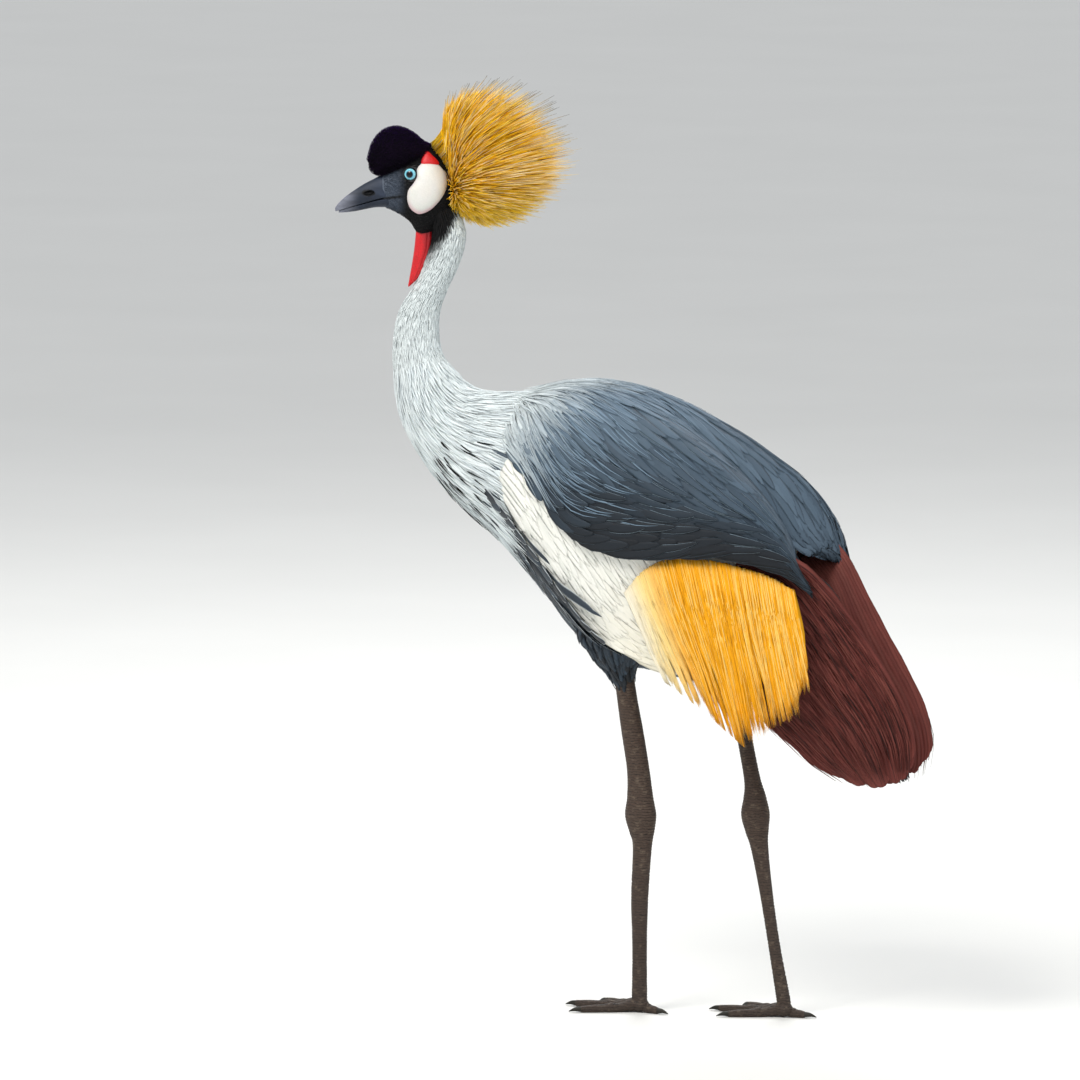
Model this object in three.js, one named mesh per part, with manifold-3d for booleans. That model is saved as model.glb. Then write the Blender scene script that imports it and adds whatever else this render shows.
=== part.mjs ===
// A grey crowned crane standing at rest, life size, as a museum would show it.
// Millimetres, +Z up. The bird faces -X and its left side is -Y. The floor is z = 0 and the
// origin is on the floor under the middle of the bird's bounding box.
import * as THREE from "three";
import { mergeVertices } from "three/addons/utils/BufferGeometryUtils.js";
import Module from "manifold-3d";

const wasm = await Module();
wasm.setup();

// Driving dimensions.
const GAP = 0.35; // between touching pieces
const BODY_SHIFT_X = -6; // moves the drawn bird so that its bounding box is centred on the origin
const BODY_SHIFT_Y = 0;
const HEAD_TURN = 26; // degrees, the head looks to the bird's left
const HEAD_JOINT = [-230, 0, 864]; // where the skull sits on the neck
const EYE_RADIUS = 7.5;
const CREST_BRISTLES = 94;
const GOLDEN_ANGLE = Math.PI * (3 - Math.sqrt(5)); // spreads the bristles evenly
const SCATTER_STRIDE = 12; // shares no factor with the counts of varied lengths
const NEAR = 0.1; // step along a table, in rows, that shows its direction there

// Neck and torso, one continuous form: top and bottom of each section in side view, half width.
const BODY = [
  { top: [-214, 868], bottom: [-243, 860], half: 18 },
  { top: [-201, 836], bottom: [-240, 830], half: 19.5 },
  { top: [-208, 804], bottom: [-252, 798], half: 19.5 },
  { top: [-221, 778], bottom: [-265, 771], half: 19.5 },
  { top: [-232, 749], bottom: [-280, 748], half: 20 },
  { top: [-233, 716], bottom: [-287, 718], half: 22 },
  { top: [-225, 694], bottom: [-286, 680], half: 26 },
  { top: [-206, 674], bottom: [-272, 626], half: 37 },
  { top: [-184, 664], bottom: [-240, 580], half: 50 },
  { top: [-150, 664], bottom: [-196, 538], half: 64 },
  { top: [-105, 668], bottom: [-143, 500], half: 80 },
  { top: [-52, 670], bottom: [-97, 455], half: 92 },
  { top: [8, 662], bottom: [-62, 414], half: 96 },
  { top: [64, 636], bottom: [-26, 386], half: 94 },
  { top: [116, 600], bottom: [26, 374], half: 84 },
  { top: [160, 556], bottom: [82, 366], half: 66 },
  { top: [194, 512], bottom: [134, 370], half: 45 },
  { top: [214, 474], bottom: [176, 388], half: 25 },
  { top: [218, 452], bottom: [198, 412], half: 11 },
];
const NECK_CUT = 5; // section where the upper neck meets the lower neck
const BREAST_CUT = 9; // section where the lower neck meets the torso
const TRUNK_MESH = { sides: 18, step: 1 };

// Skull, bill, cap and throat lobe in the head's own frame: -X forward, Z up.
const SKULL = [
  { top: [12, 34], bottom: [14, 16], half: 9 },
  { top: [8, 44], bottom: [12, 2], half: 15 },
  { top: [0, 53], bottom: [6, -14], half: 19.5 },
  { top: [-10, 63.5], bottom: [-8, -27], half: 22 },
  { top: [-21, 66], bottom: [-23, -31], half: 22 },
  { top: [-35, 59], bottom: [-34, -16.5], half: 20 },
  { top: [-50, 46], bottom: [-50, -6], half: 15.5 },
  { top: [-64, 34.5], bottom: [-62, -1], half: 11.5 },
];
const UPPER_BILL = [
  { top: [-64.3, 35.5], bottom: [-62.3, 8.4], half: 11.5 },
  { top: [-73, 29.8], bottom: [-71, 6.8], half: 9.6 },
  { top: [-84, 24], bottom: [-82, 3.6], half: 7.8 },
  { top: [-94, 17.5], bottom: [-93, 0.4], half: 6.2 },
  { top: [-104, 10.2], bottom: [-103, -2.4], half: 4.6 },
  { top: [-111.5, 3], bottom: [-110.8, -4.6], half: 2.8 },
  { top: [-115, -2], bottom: [-114.4, -5.6], half: 1.1 },
];
const LOWER_BILL = [
  { top: [-62.9, 7.6], bottom: [-62.4, -1], half: 10.6 },
  { top: [-71, 5.8], bottom: [-71, -1.2], half: 8.6 },
  { top: [-82, 2.4], bottom: [-82, -3.2], half: 6.6 },
  { top: [-93, -0.4], bottom: [-93, -5.4], half: 5 },
  { top: [-103, -3.1], bottom: [-103, -6.6], half: 3.3 },
  { top: [-111, -5.3], bottom: [-111, -7], half: 1.2 },
];
const CAP = [
  { top: [-11, 68], bottom: [-11, 63], half: 5 },
  { top: [-20, 72], bottom: [-18, 50], half: 15 },
  { top: [-32, 82], bottom: [-30, 44], half: 20.5 },
  { top: [-47, 87.6], bottom: [-42, 38], half: 22.5 },
  { top: [-62, 84], bottom: [-56, 34], half: 21 },
  { top: [-73, 72], bottom: [-66, 33], half: 16.5 },
  { top: [-78, 57], bottom: [-73, 36], half: 10 },
  { top: [-79, 50], bottom: [-77, 42], half: 4 },
];
const THROAT_LOBE = [
  { top: [-8, -28], bottom: [-27, -26], half: 7 },
  { top: [-9, -44], bottom: [-29, -45], half: 7.4 },
  { top: [-15, -60], bottom: [-31.5, -62], half: 6.4 },
  { top: [-23, -76], bottom: [-34, -78], half: 4.6 },
  { top: [-30, -86], bottom: [-35, -88], half: 2 },
];
const CHEEK = { centre: [-14.5, 16.5, 22.5], radii: [21.2, 9, 30.5], tilt: 14 };
const EYE = [-32.4, 14, 36.5];
// Crest: the outline that its tips reach, how far back and forward they go and how short some are.
const CREST = { centre: [60, 0, 60], radii: [72, 60, 68] };
const CREST_BACK = -0.99;
const CREST_FRONT = 0.62;
const CREST_SHORTEST = 0.86;
const CREST_ARCH = 3;
const CREST_PAD = { centre: [-6, 0, 33], radii: [21, 17, 37], tilt: -20 };
const CREST_ROOTS = { back: 2, slant: -7, wide: 13, tall: 22 }; // oval in the pad where they start
const BRISTLE_RADII = [1.5, 1.15, 0.4];
const LID = { centre: [-32.4, 14.5, 36.5], radii: [9.8, 5.2, 9] };
const NOSTRIL = { centre: [-79, 9.4, 14.8], radii: [6, 3.6, 2.8], tilt: -12 };
const MOUTH = { low: [-70, -30, 6.9], high: [-45, 30, 8], depth: 1.3 };

// Wing: outer surface of the white coverts, from under the back feathers to the lower edge.
const WING = [
  [[-120, 76, 602], [-125, 81, 586], [-120, 81, 563]],
  [[-84, 72, 636], [-90, 93, 590], [-94, 90, 536]],
  [[-40, 84, 632], [-42, 100, 560], [-48, 90, 480]],
  [[10, 90, 612], [6, 104, 530], [-14, 86, 435]],
  [[60, 90, 590], [50, 103, 500], [28, 80, 403]],
  [[110, 84, 560], [98, 99, 480], [78, 78, 388]],
  [[150, 76, 530], [148, 88, 470], [130, 74, 392]],
];
const WING_CORE = { y: 36, share: 0.55 };

// Back feathers: outer surface from the ridge over the hump and flank to the lower edge.
const CAPE = [
  [[-112, 1, 674], [-112, 34, 664], [-116, 62, 640], [-118, 78, 612]],
  [[-62, 1, 682], [-62, 42, 675], [-68, 90, 636], [-76, 98, 590]],
  [[-10, 1, 678], [-12, 48, 671], [-20, 104, 624], [-24, 110, 530]],
  [[40, 1, 660], [44, 54, 655], [40, 109, 606], [38, 116, 516]],
  [[92, 1, 622], [98, 56, 631], [96, 106, 588], [96, 114, 514]],
  [[136, 1, 588], [144, 56, 604], [147, 98, 568], [147, 106, 518]],
  [[168, 2, 556], [178, 56, 578], [186, 87, 550], [187, 92, 512]],
  [[192, 8, 524], [205, 55, 542], [213, 74, 526], [215, 78, 502]],
  [[212, 40, 504], [220, 54, 508], [227, 62, 498], [228, 64, 488]],
];
const CAPE_CORE = { y: 30, share: 0.5 };
const CORE_CLEARANCE = 0.2; // how much further in a shell's room reaches than the shell

// Long yellow plumes over the wing: a curtain of points from root to tip, front to rear.
const PLUMES = [
  [[44, 112, 474], [58, 110, 445], [72, 104, 410], [84, 96, 380]],
  [[68, 112, 500], [88, 111, 450], [108, 104, 400], [124, 95, 356]],
  [[105, 109, 516], [124, 109, 450], [144, 102, 390], [160, 92, 330]],
  [[140, 102, 513], [156, 105, 450], [170, 98, 380], [180, 88, 318]],
  [[172, 94, 506], [184, 97, 450], [195, 91, 390], [203, 82, 338]],
  [[200, 82, 497], [210, 86, 450], [218, 82, 400], [226, 76, 356]],
  [[222, 71, 483], [230, 74, 450], [236, 72, 424], [239, 68, 400]],
];
const PLUME_THICKNESS = 4.4;

// Bundle of long wing feathers behind the body: dorsal and ventral edge in side view, distance
// of their middle from the middle plane, how much nearer to it the dorsal edge leans, and half
// thickness, from the root to the tips.
const SECONDARIES = [
  { top: [166, 540], bottom: [154, 424], y: 76, lean: 8, half: 9 },
  { top: [203, 530], bottom: [153, 408], y: 65, lean: 21, half: 11 },
  { top: [236, 512], bottom: [154, 390], y: 55, lean: 30, half: 12 },
  { top: [261, 484], bottom: [161, 364], y: 45, lean: 36, half: 12 },
  { top: [289, 446], bottom: [168, 340], y: 37, lean: 36, half: 11 },
  { top: [315, 408], bottom: [177, 322], y: 31, lean: 28, half: 9 },
  { top: [342, 362], bottom: [199, 302], y: 25, lean: 18, half: 8 },
  { top: [355, 318], bottom: [223, 282], y: 21, lean: 10, half: 7 },
  { top: [352, 270], bottom: [256, 263], y: 18, lean: 6, half: 4 },
];
const PRIMARIES = [
  { top: [176, 470], bottom: [140, 420], y: 56, half: 6 },
  { top: [214, 430], bottom: [172, 388], y: 38, half: 4 },
  { top: [252, 386], bottom: [212, 350], y: 24, half: 3 },
  { top: [290, 330], bottom: [258, 304], y: 13, half: 2 },
  { top: [318, 280], bottom: [302, 264], y: 9, half: 1.5 },
];
const TAIL = [
  { top: [214, 494], bottom: [192, 462], half: 14 },
  { top: [242, 470], bottom: [222, 448], half: 20 },
  { top: [274, 410], bottom: [256, 396], half: 17 },
  { top: [304, 340], bottom: [288, 330], half: 12 },
  { top: [330, 276], bottom: [318, 268], half: 8 },
];
const FAR_PLUMES_SHIFT = 14; // the right wing's plumes lie further back

// Feathers: where each tip lies in its bundle, as row number and share up the chord, and sizes.
const BLUNT_OUTLINE = [0.5, 0.85, 1, 1, 0.86, 0.3];
const SECONDARY_TIPS = [
  [5.2, 0.04], [6, 0.04], [7, 0.05], [7.7, 0.1], [8, 0.26], [8, 0.46], [8, 0.66], [8, 0.82], [8, 0.95],
];
const SECONDARY_VANE = { width: 42, thickness: 1.5, stub: 0.5, rows: 4 };
const PRIMARY_TIPS = [[3.2, 0.1], [4, 0.2], [4, 0.8]];
const PRIMARY_VANE = { width: 20, thickness: 1.4, stub: 0.5, rows: 3 };
const PRIMARY_CLEARANCE = 3; // under the secondaries, whose edges stand out of their bundle
const BUNDLE_FILL = 0.8; // how near the outermost feathers lie to the faces of their bundle
const BUNDLE_BOXY = 0.8; // a bundle's section is nearly a rectangle
const TAIL_FEATHERS = 5;
const TAIL_VANE = { width: 13, thickness: 1.6 };
const TAIL_LEAN = 0.5;
const TAIL_ARCH = { middle: 0.8, fall: 0.5, spread: 0.62 }; // its middle feathers lie highest
const PLUME_COUNT = 14;
const PLUME_OUTLINE = [1, 1, 1, 0.9, 0.6, 0.14];
const PLUME_VANE = { width: 18, thickness: 1.6, outline: PLUME_OUTLINE };
const PLUME_EDGE = 0.42; // rows between the curtain's edge and its outermost plumes
const PLUME_ROOT = 0.06;
const PLUME_UNEVEN = 0.35;
const PLUME_TOP = 0.3; // depth of the outer layer under the curtain's face
const PLUME_DRIFT = 0.12; // rows that a plume strays on its way down
const CAPE_VANE = { width: 30, thickness: 1.4, sink: -2.5, lift: 2.4, rise: 3, rows: 2.3, columns: 0.4 };
const CAPE_TIERS = [
  { row: 0.6, columns: [0.7, 1.5, 2.3] },
  { row: 2.4, columns: [0.5, 1.3, 2.1] },
  { row: 4.2, columns: [0.9, 1.8] },
];
const HACKLE_ROWS = [6.5, 7.8];
const HACKLES_A_ROW = 8;
const HACKLE_SPREAD = 2.5; // how far round to each side of the front of the neck, in radians
const HACKLE = { rows: 1.7, width: 20, thickness: 1.2, sink: -1.5, lift: 2.4, rise: 2.5, turn: 0.06 };

// Legs: x, y, z, fore-and-aft radius and side radius, from the top down. As in any crane on the
// walk the feet come down nearly in line, under the weight.
const LEFT_THIGH = [
  [30, -38, 470, 66, 30], [4, -38, 425, 56, 28], [2, -38, 398, 38, 22], [4.5, -37, 378, 20, 15],
  [8.5, -36.3, 362, 12.8, 11.4],
];
const LEFT_LEG = [
  [7.5, -36.9, 376, 10.4, 9], [11.7, -35.4, 343, 11, 9.6], [17, -33.9, 309, 12, 10],
  [23, -32, 268, 12.4, 10.2], [24.8, -30.7, 238, 14.5, 11.5], [25, -29.8, 218, 17.4, 13.5],
  [26.1, -29, 200, 14, 11.5], [26.2, -28.2, 182, 10.4, 9], [22, -25.7, 126, 9.4, 7.8],
  [20.8, -23.2, 70, 7.9, 7], [19.6, -20.8, 17, 8.3, 7.6],
];
const RIGHT_THIGH = [
  [96, 38, 470, 62, 30], [98, 38, 430, 46, 26], [103, 38, 395, 28, 20], [106.8, 36.4, 365, 16, 13],
  [111.2, 35.5, 344, 11, 10.6],
];
const RIGHT_LEG = [
  [105.8, 36.3, 362, 8.6, 8.4], [113.6, 34.8, 328, 8.2, 8.2], [120.3, 33.3, 295, 8, 8],
  [129.2, 31.5, 256, 8.8, 8.4], [132.6, 30.7, 237, 12.4, 10], [134, 29.8, 218, 16, 12],
  [136.4, 29, 200, 13, 10.5], [139.8, 28.2, 182, 9.6, 8.4], [148.8, 26, 134, 6.8, 7],
  [160.1, 23.4, 75, 6.2, 6.4], [172.4, 20.8, 17, 7.4, 7.2],
];
const ANKLE_ROW = 4; // row of the leg where the shank ends and the tarsus begins

// Feet: turn of each toe from straight ahead towards the outer side, toe and claw lengths.
const TOES = {
  middle: { turn: 0, length: 76 },
  inner: { turn: -28, length: 60 },
  outer: { turn: 30, length: 64 },
  hind: { turn: 172, length: 24 },
};
const CLAW_LENGTH = 13;
// Toe and claw: share of the length, height of the middle over the floor, radius.
const TOE_SHAPE = [
  [0.05, 8.6, 6.4], [0.35, 5, 5], [0.62, 4.2, 5], [0.8, 3.5, 4.2], [1, 3.2, 3.4],
];
const CLAW_SHAPE = [[0, 3.7, 3], [0.5, 3.6, 2.1], [1, 1.6, 0.5]];
const HUB = { height: 8, radii: [10.5, 9.5, 8.6] };
const FLOOR = { reach: 200, depth: 50 }; // what the soles are cut flat against

const SLATE = new THREE.MeshStandardMaterial({ color: 0x5a6672, roughness: 0.75 });
const PALE_GREY = new THREE.MeshStandardMaterial({ color: 0xc9d0d2, roughness: 0.8 });
const WHITE = new THREE.MeshStandardMaterial({ color: 0xefece2, roughness: 0.8 });
const GOLD = new THREE.MeshStandardMaterial({ color: 0xe8a52c, roughness: 0.65 });
const CHESTNUT = new THREE.MeshStandardMaterial({ color: 0x55281f, roughness: 0.7 });
const BLACK = new THREE.MeshStandardMaterial({ color: 0x15151a, roughness: 0.7 });
const RED = new THREE.MeshStandardMaterial({ color: 0xc3141f, roughness: 0.5 });
const HORN = new THREE.MeshStandardMaterial({ color: 0x4b4f58, roughness: 0.45 });
const LEG_SKIN = new THREE.MeshStandardMaterial({ color: 0x4a3f38, roughness: 0.7 });
const EYE_BLUE = new THREE.MeshStandardMaterial({ color: 0x7fc4cf, roughness: 0.1 });

const V = (x, y, z) => new THREE.Vector3(x, y, z);
const lerp = THREE.MathUtils.lerp;
const radians = THREE.MathUtils.degToRad;

// A closed solid from vertices and triangles, turned so that its faces point out.
function solidFrom(points, triangles) {
  const make = (tris) =>
    new wasm.Manifold(
      new wasm.Mesh({
        numProp: 3,
        vertProperties: new Float32Array(points.flatMap((p) => [p.x, p.y, p.z])),
        triVerts: new Uint32Array(tris.flat()),
      }),
    );
  const solid = make(triangles);
  return solid.volume() > 0 ? solid : make(triangles.map(([a, b, c]) => [a, c, b]));
}

// A solid through rings of equal point counts, closed by a fan at each end.
function loft(rings) {
  const points = rings.flat();
  const n = rings[0].length;
  const triangles = [];
  for (let i = 0; i + 1 < rings.length; i++)
    for (let j = 0; j < n; j++) {
      const a = i * n + j;
      const b = i * n + ((j + 1) % n);
      triangles.push([a, b, b + n], [a, b + n, a + n]);
    }
  for (const [ring, first, turn] of [
    [rings[0], 0, -1],
    [rings[rings.length - 1], (rings.length - 1) * n, 1],
  ]) {
    const middle = points.length;
    points.push(middleOf(ring));
    for (let j = 0; j < n; j++) {
      const a = first + j;
      const b = first + ((j + 1) % n);
      triangles.push(turn > 0 ? [a, b, middle] : [b, a, middle]);
    }
  }
  return solidFrom(points, triangles);
}

// A solid between an upper and a lower grid of points, split into triangles alike on both.
function sheet(upper, lower) {
  const rows = upper.length;
  const columns = upper[0].length;
  const points = [...upper.flat(), ...lower.flat()];
  const at = (i, j) => i * columns + j;
  const under = rows * columns;
  const triangles = [];
  for (let i = 0; i + 1 < rows; i++)
    for (let j = 0; j + 1 < columns; j++) {
      const [a, b, c, d] = [at(i, j), at(i + 1, j), at(i + 1, j + 1), at(i, j + 1)];
      triangles.push([a, b, c], [a, c, d]);
      triangles.push([a + under, c + under, b + under], [a + under, d + under, c + under]);
    }
  const rim = [];
  for (let j = 0; j < columns; j++) rim.push(at(0, j));
  for (let i = 1; i < rows; i++) rim.push(at(i, columns - 1));
  for (let j = columns - 2; j >= 0; j--) rim.push(at(rows - 1, j));
  for (let i = rows - 2; i > 0; i--) rim.push(at(i, 0));
  rim.forEach((a, k) => {
    const b = rim[(k + 1) % rim.length];
    triangles.push([a, b, b + under], [a, b + under, a + under]);
  });
  return solidFrom(points, triangles);
}

// A smooth value between the rows of a table, at row number t.
function along(rows, t) {
  const last = rows.length - 1;
  const i = Math.min(Math.floor(t), last - 1);
  const f = t - i;
  const [a, b, c, d] = [i - 1, i, i + 1, i + 2].map((k) => rows[Math.max(0, Math.min(last, k))]);
  return b.map((_, k) => {
    const [p, q, r, s] = [a[k], b[k], c[k], d[k]];
    const bend = 2 * p - 5 * q + 4 * r - s + f * (3 * (q - r) + s - p);
    return q + 0.5 * f * (r - p + f * bend);
  });
}

// The direction in which the points that start each row of a table go on, at row number t.
function directionAlong(rows, t) {
  const before = along(rows, Math.max(0, t - NEAR));
  const after = along(rows, Math.min(rows.length - 1, t + NEAR));
  return V(after[0] - before[0], after[1] - before[1], after[2] - before[2]).normalize();
}

const rowOf = (s) => [...s.top, ...s.bottom, s.half, s.y ?? 0, s.lean ?? 0];

const rounded = (v, boxy) => Math.sign(v) * Math.abs(v) ** (1 - boxy);

// One section of a form: an oval whose upright chord runs from top to bottom in side view.
// With `boxy` over 0 it fills out towards a rectangle.
function section(rows, t, sides, grow, side, boxy) {
  const [tx, tz, bx, bz, half, y, lean] = along(rows, t);
  const chord = V((tx - bx) / 2, (-lean * side) / 2, (tz - bz) / 2);
  const middle = V((tx + bx) / 2, y * side, (tz + bz) / 2);
  const up = chord.clone().normalize();
  return Array.from({ length: sides }, (_, k) => {
    const angle = (2 * Math.PI * k) / sides;
    return middle
      .clone()
      .addScaledVector(up, (chord.length() + grow) * rounded(Math.cos(angle), boxy))
      .add(V(0, (half + grow) * rounded(Math.sin(angle), boxy), 0));
  });
}

const middleOf = (ring) => ring.reduce((sum, p) => sum.add(p), V(0, 0, 0)).divideScalar(ring.length);

// Moves the first and last ring outwards along the form, or inwards if `reach` is negative.
function reachOut(rings, reach) {
  for (const [end, next] of [[0, 1], [rings.length - 1, rings.length - 2]]) {
    const out = middleOf(rings[end]).sub(middleOf(rings[next])).normalize().multiplyScalar(reach);
    rings[end].forEach((p) => p.add(out));
  }
  return rings;
}

// A form through such sections, from row number `from` to `to`.
function form(table, options = {}) {
  const { sides = 20, step = 0.5, from = 0, to = table.length - 1, grow = 0, ends = grow } = options;
  const { side = 1, boxy = 0 } = options;
  const rows = table.map(rowOf);
  const count = Math.round((to - from) / step);
  const rings = Array.from({ length: count + 1 }, (_, i) =>
    section(rows, from + (i * (to - from)) / count, sides, grow, side, boxy),
  );
  return loft(reachOut(rings, ends));
}

// A limb along a path of [x, y, z, fore-and-aft radius, side radius], between two of its rows.
function limb(table, options = {}) {
  const { sides = 12, step = 0.5, from = 0, to = table.length - 1, grow = 0, ends = grow } = options;
  const across = options.across ?? V(0, 1, 0);
  const count = Math.round((to - from) / step);
  const rings = Array.from({ length: count + 1 }, (_, i) => {
    const t = from + (i * (to - from)) / count;
    const s = along(table, t);
    const ahead = directionAlong(table, t);
    const aside = across.clone().addScaledVector(ahead, -across.dot(ahead)).normalize();
    const fore = ahead.clone().cross(aside);
    return Array.from({ length: sides }, (_, k) => {
      const angle = (2 * Math.PI * k) / sides;
      return V(s[0], s[1], s[2])
        .addScaledVector(fore, (s[3] + grow) * Math.cos(angle))
        .addScaledVector(aside, (s[4] + grow) * Math.sin(angle));
    });
  });
  return loft(reachOut(rings, ends));
}

// A feather vane along a path of places { at, out }, `out` being the outward normal there. The
// vane is widest where its outline says, and its edges droop below its shaft.
const VANE_OUTLINE = [0.45, 0.9, 1, 0.92, 0.62, 0.14];
function vane(places, { width, thickness, droop = 0.6, rows = 4, outline = VANE_OUTLINE, columns = 2 }) {
  const path = places.map(({ at, out }) => [at.x, at.y, at.z, out.x, out.y, out.z]);
  const faces = { upper: [], lower: [] };
  for (let i = 0; i <= rows; i++) {
    const t = (i / rows) * (path.length - 1);
    const [x, y, z, nx, ny, nz] = along(path, t);
    const out = V(nx, ny, nz).normalize();
    const ahead = directionAlong(path, t);
    const across = out.clone().cross(ahead).normalize();
    const [share] = along(outline.map((w) => [w]), (i / rows) * (outline.length - 1));
    const row = (depth) =>
      Array.from({ length: columns + 1 }, (_, j) => {
        const off = (2 * j) / columns - 1;
        return V(x, y, z)
          .addScaledVector(across, off * share * (width / 2))
          .addScaledVector(out, depth - droop * off * off * share);
      });
    const deep = thickness * lerp(1, 0.4, i / rows);
    faces.upper.push(row(0));
    faces.lower.push(row(-deep));
  }
  return sheet(faces.upper, faces.lower);
}

// A stiff bristle: a three-sided spine through points, tapering to a fine end.
function bristle(points, radii) {
  const ahead = points[points.length - 1].clone().sub(points[0]).normalize();
  const across = V(0, 1, 0).cross(ahead).normalize();
  const over = ahead.clone().cross(across);
  const corners = points.flatMap((p, i) =>
    [0, 1, 2].map((k) => {
      const angle = (2 * Math.PI * k) / 3;
      return p
        .clone()
        .addScaledVector(across, radii[i] * Math.cos(angle))
        .addScaledVector(over, radii[i] * Math.sin(angle));
    }),
  );
  const last = corners.length - 3;
  const triangles = [[0, 2, 1], [last, last + 1, last + 2]];
  for (let i = 0; i < last; i += 3)
    for (let k = 0; k < 3; k++) {
      const [a, b] = [i + k, i + ((k + 1) % 3)];
      triangles.push([a, b, b + 3], [a, b + 3, a + 3]);
    }
  return solidFrom(corners, triangles);
}

// A closed three.js geometry as a solid.
function solidOf(geometry) {
  const bare = geometry.clone();
  bare.deleteAttribute("normal");
  bare.deleteAttribute("uv");
  const merged = mergeVertices(bare);
  return new wasm.Manifold(
    new wasm.Mesh({
      numProp: 3,
      vertProperties: new Float32Array(merged.attributes.position.array),
      triVerts: new Uint32Array(merged.index.array),
    }),
  );
}

// An ellipsoid tipped about Y.
function ellipsoid(centre, radii, { wide = 16, tall = 12, grow = 0, tilt = 0 } = {}) {
  const ball = new THREE.SphereGeometry(1, wide, tall);
  ball.scale(...radii.map((r) => r + grow)).rotateY(radians(tilt)).translate(...centre);
  return solidOf(ball);
}

function box(low, high) {
  const block = new THREE.BoxGeometry(...low.map((v, k) => high[k] - v));
  return solidOf(block.translate(...low.map((v, k) => (v + high[k]) / 2)));
}

const unite = (pieces) => pieces.reduce((sum, piece) => sum.add(piece));
const cut = (solid, ...tools) => tools.reduce((left, tool) => left.subtract(tool), solid);

// The largest closed surface of a solid, without scraps or sealed hollows.
function whole(solid) {
  return solid.decompose().reduce((best, piece) => (piece.volume() > best.volume() ? piece : best));
}

const crane = new THREE.Group();
const drawn = new THREE.Group();
drawn.position.set(BODY_SHIFT_X, BODY_SHIFT_Y, 0);
crane.add(drawn);

const headGroup = new THREE.Group();
headGroup.position.set(...HEAD_JOINT);
headGroup.rotation.z = radians(HEAD_TURN);
drawn.add(headGroup);

function addMesh(name, solid, material, group = drawn) {
  const mesh = whole(solid).getMesh();
  const geometry = new THREE.BufferGeometry();
  geometry.setAttribute("position", new THREE.BufferAttribute(new Float32Array(mesh.vertProperties), 3));
  geometry.setIndex(new THREE.BufferAttribute(new Uint32Array(mesh.triVerts), 1));
  const made = new THREE.Mesh(geometry, material);
  made.name = name;
  group.add(made);
  return made;
}

const mirror = (points, side) => points.map((p) => [p[0], p[1] * side, p[2]]);

// The points of a curved surface from a table of its section points.
function surface(table, side, { rowStep = 0.5, columns = 8 } = {}) {
  const flat = table.map((points) => mirror(points, side).flat());
  const count = Math.round((table.length - 1) / rowStep);
  return Array.from({ length: count + 1 }, (_, i) => {
    const row = along(flat, i * rowStep);
    const points = table[0].map((_, k) => row.slice(3 * k, 3 * k + 3));
    const columnStep = (points.length - 1) / columns;
    return Array.from({ length: columns + 1 }, (_, j) => V(...along(points, j * columnStep)));
  });
}

// The outward normals of such a surface.
function normals(grid, side) {
  return grid.map((row, i) =>
    row.map((_, j) => {
      const down = row[Math.min(row.length - 1, j + 1)].clone().sub(row[Math.max(0, j - 1)]);
      const back = grid[Math.min(grid.length - 1, i + 1)][j].clone().sub(grid[Math.max(0, i - 1)][j]);
      return back.cross(down).multiplyScalar(side).normalize();
    }),
  );
}

// The same surface moved out by `depth` along its normals, with its rim pushed out by `rim`.
function moved(grid, side, depth, rim) {
  const out = normals(grid, side);
  const last = grid.length - 1;
  const push = (p, q) => p.clone().sub(q).normalize().multiplyScalar(rim);
  return grid.map((row, i) =>
    row.map((p, j) => {
      const point = p.clone().addScaledVector(out[i][j], depth);
      if (i === 0) point.add(push(p, grid[1][j]));
      if (i === last) point.add(push(p, grid[last - 1][j]));
      if (j === 0) point.add(push(p, row[1]));
      if (j === row.length - 1) point.add(push(p, row[j - 1]));
      return point;
    }),
  );
}

// A place on such a surface, at a row and column number and `depth` out of it.
function placeOn(table, side, row, column, depth) {
  const flat = table.map((points) => mirror(points, side).flat());
  const point = (r, c) => {
    const line = along(flat, r);
    return V(...along(table[0].map((_, k) => line.slice(3 * k, 3 * k + 3)), c));
  };
  const [lastRow, lastColumn] = [table.length - 1, table[0].length - 1];
  const back = point(Math.min(lastRow, row + NEAR), column).sub(point(Math.max(0, row - NEAR), column));
  const down = point(row, Math.min(lastColumn, column + NEAR)).sub(point(row, Math.max(0, column - NEAR)));
  const out = back.cross(down).multiplyScalar(side).normalize();
  return { at: point(row, column).addScaledVector(out, depth), out };
}

// A place on the body's skin: row number, angle round from the top and depth out of it.
function placeOnBody(row, angle, depth) {
  const [tx, tz, bx, bz, half] = along(BODY.map(rowOf), row);
  const up = V((tx - bx) / 2, 0, (tz - bz) / 2);
  const tall = up.length();
  up.normalize();
  const middle = V((tx + bx) / 2, 0, (tz + bz) / 2);
  const out = up.clone().multiplyScalar(Math.cos(angle) / tall);
  out.add(V(0, Math.sin(angle) / half, 0)).normalize();
  const at = middle.addScaledVector(up, tall * Math.cos(angle)).add(V(0, half * Math.sin(angle), 0));
  return { at: at.addScaledVector(out, depth), out };
}

// A place in a bundle of feathers: row number, share up the chord, kept `inset` inside its
// ends, and layer from -1 to 1.
function placeInBundle(table, side, row, share, layer, inset) {
  const [tx, tz, bx, bz, half, y, lean] = along(table.map(rowOf), row);
  const chord = V(tx - bx, -lean * side, tz - bz);
  const margin = Math.min(0.5, inset / chord.length());
  const up = lerp(margin, 1 - margin, share);
  const out = V(0, side, 0).addScaledVector(chord, lean / chord.lengthSq()).normalize();
  return { at: V(lerp(bx, tx, up), (y + lean * (0.5 - up) + layer * half) * side, lerp(bz, tz, up)), out };
}

const PATH_SHARES = [0, 0.25, 0.5, 0.75, 1];
const smooth = (t) => t * t * (3 - 2 * t);
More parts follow.
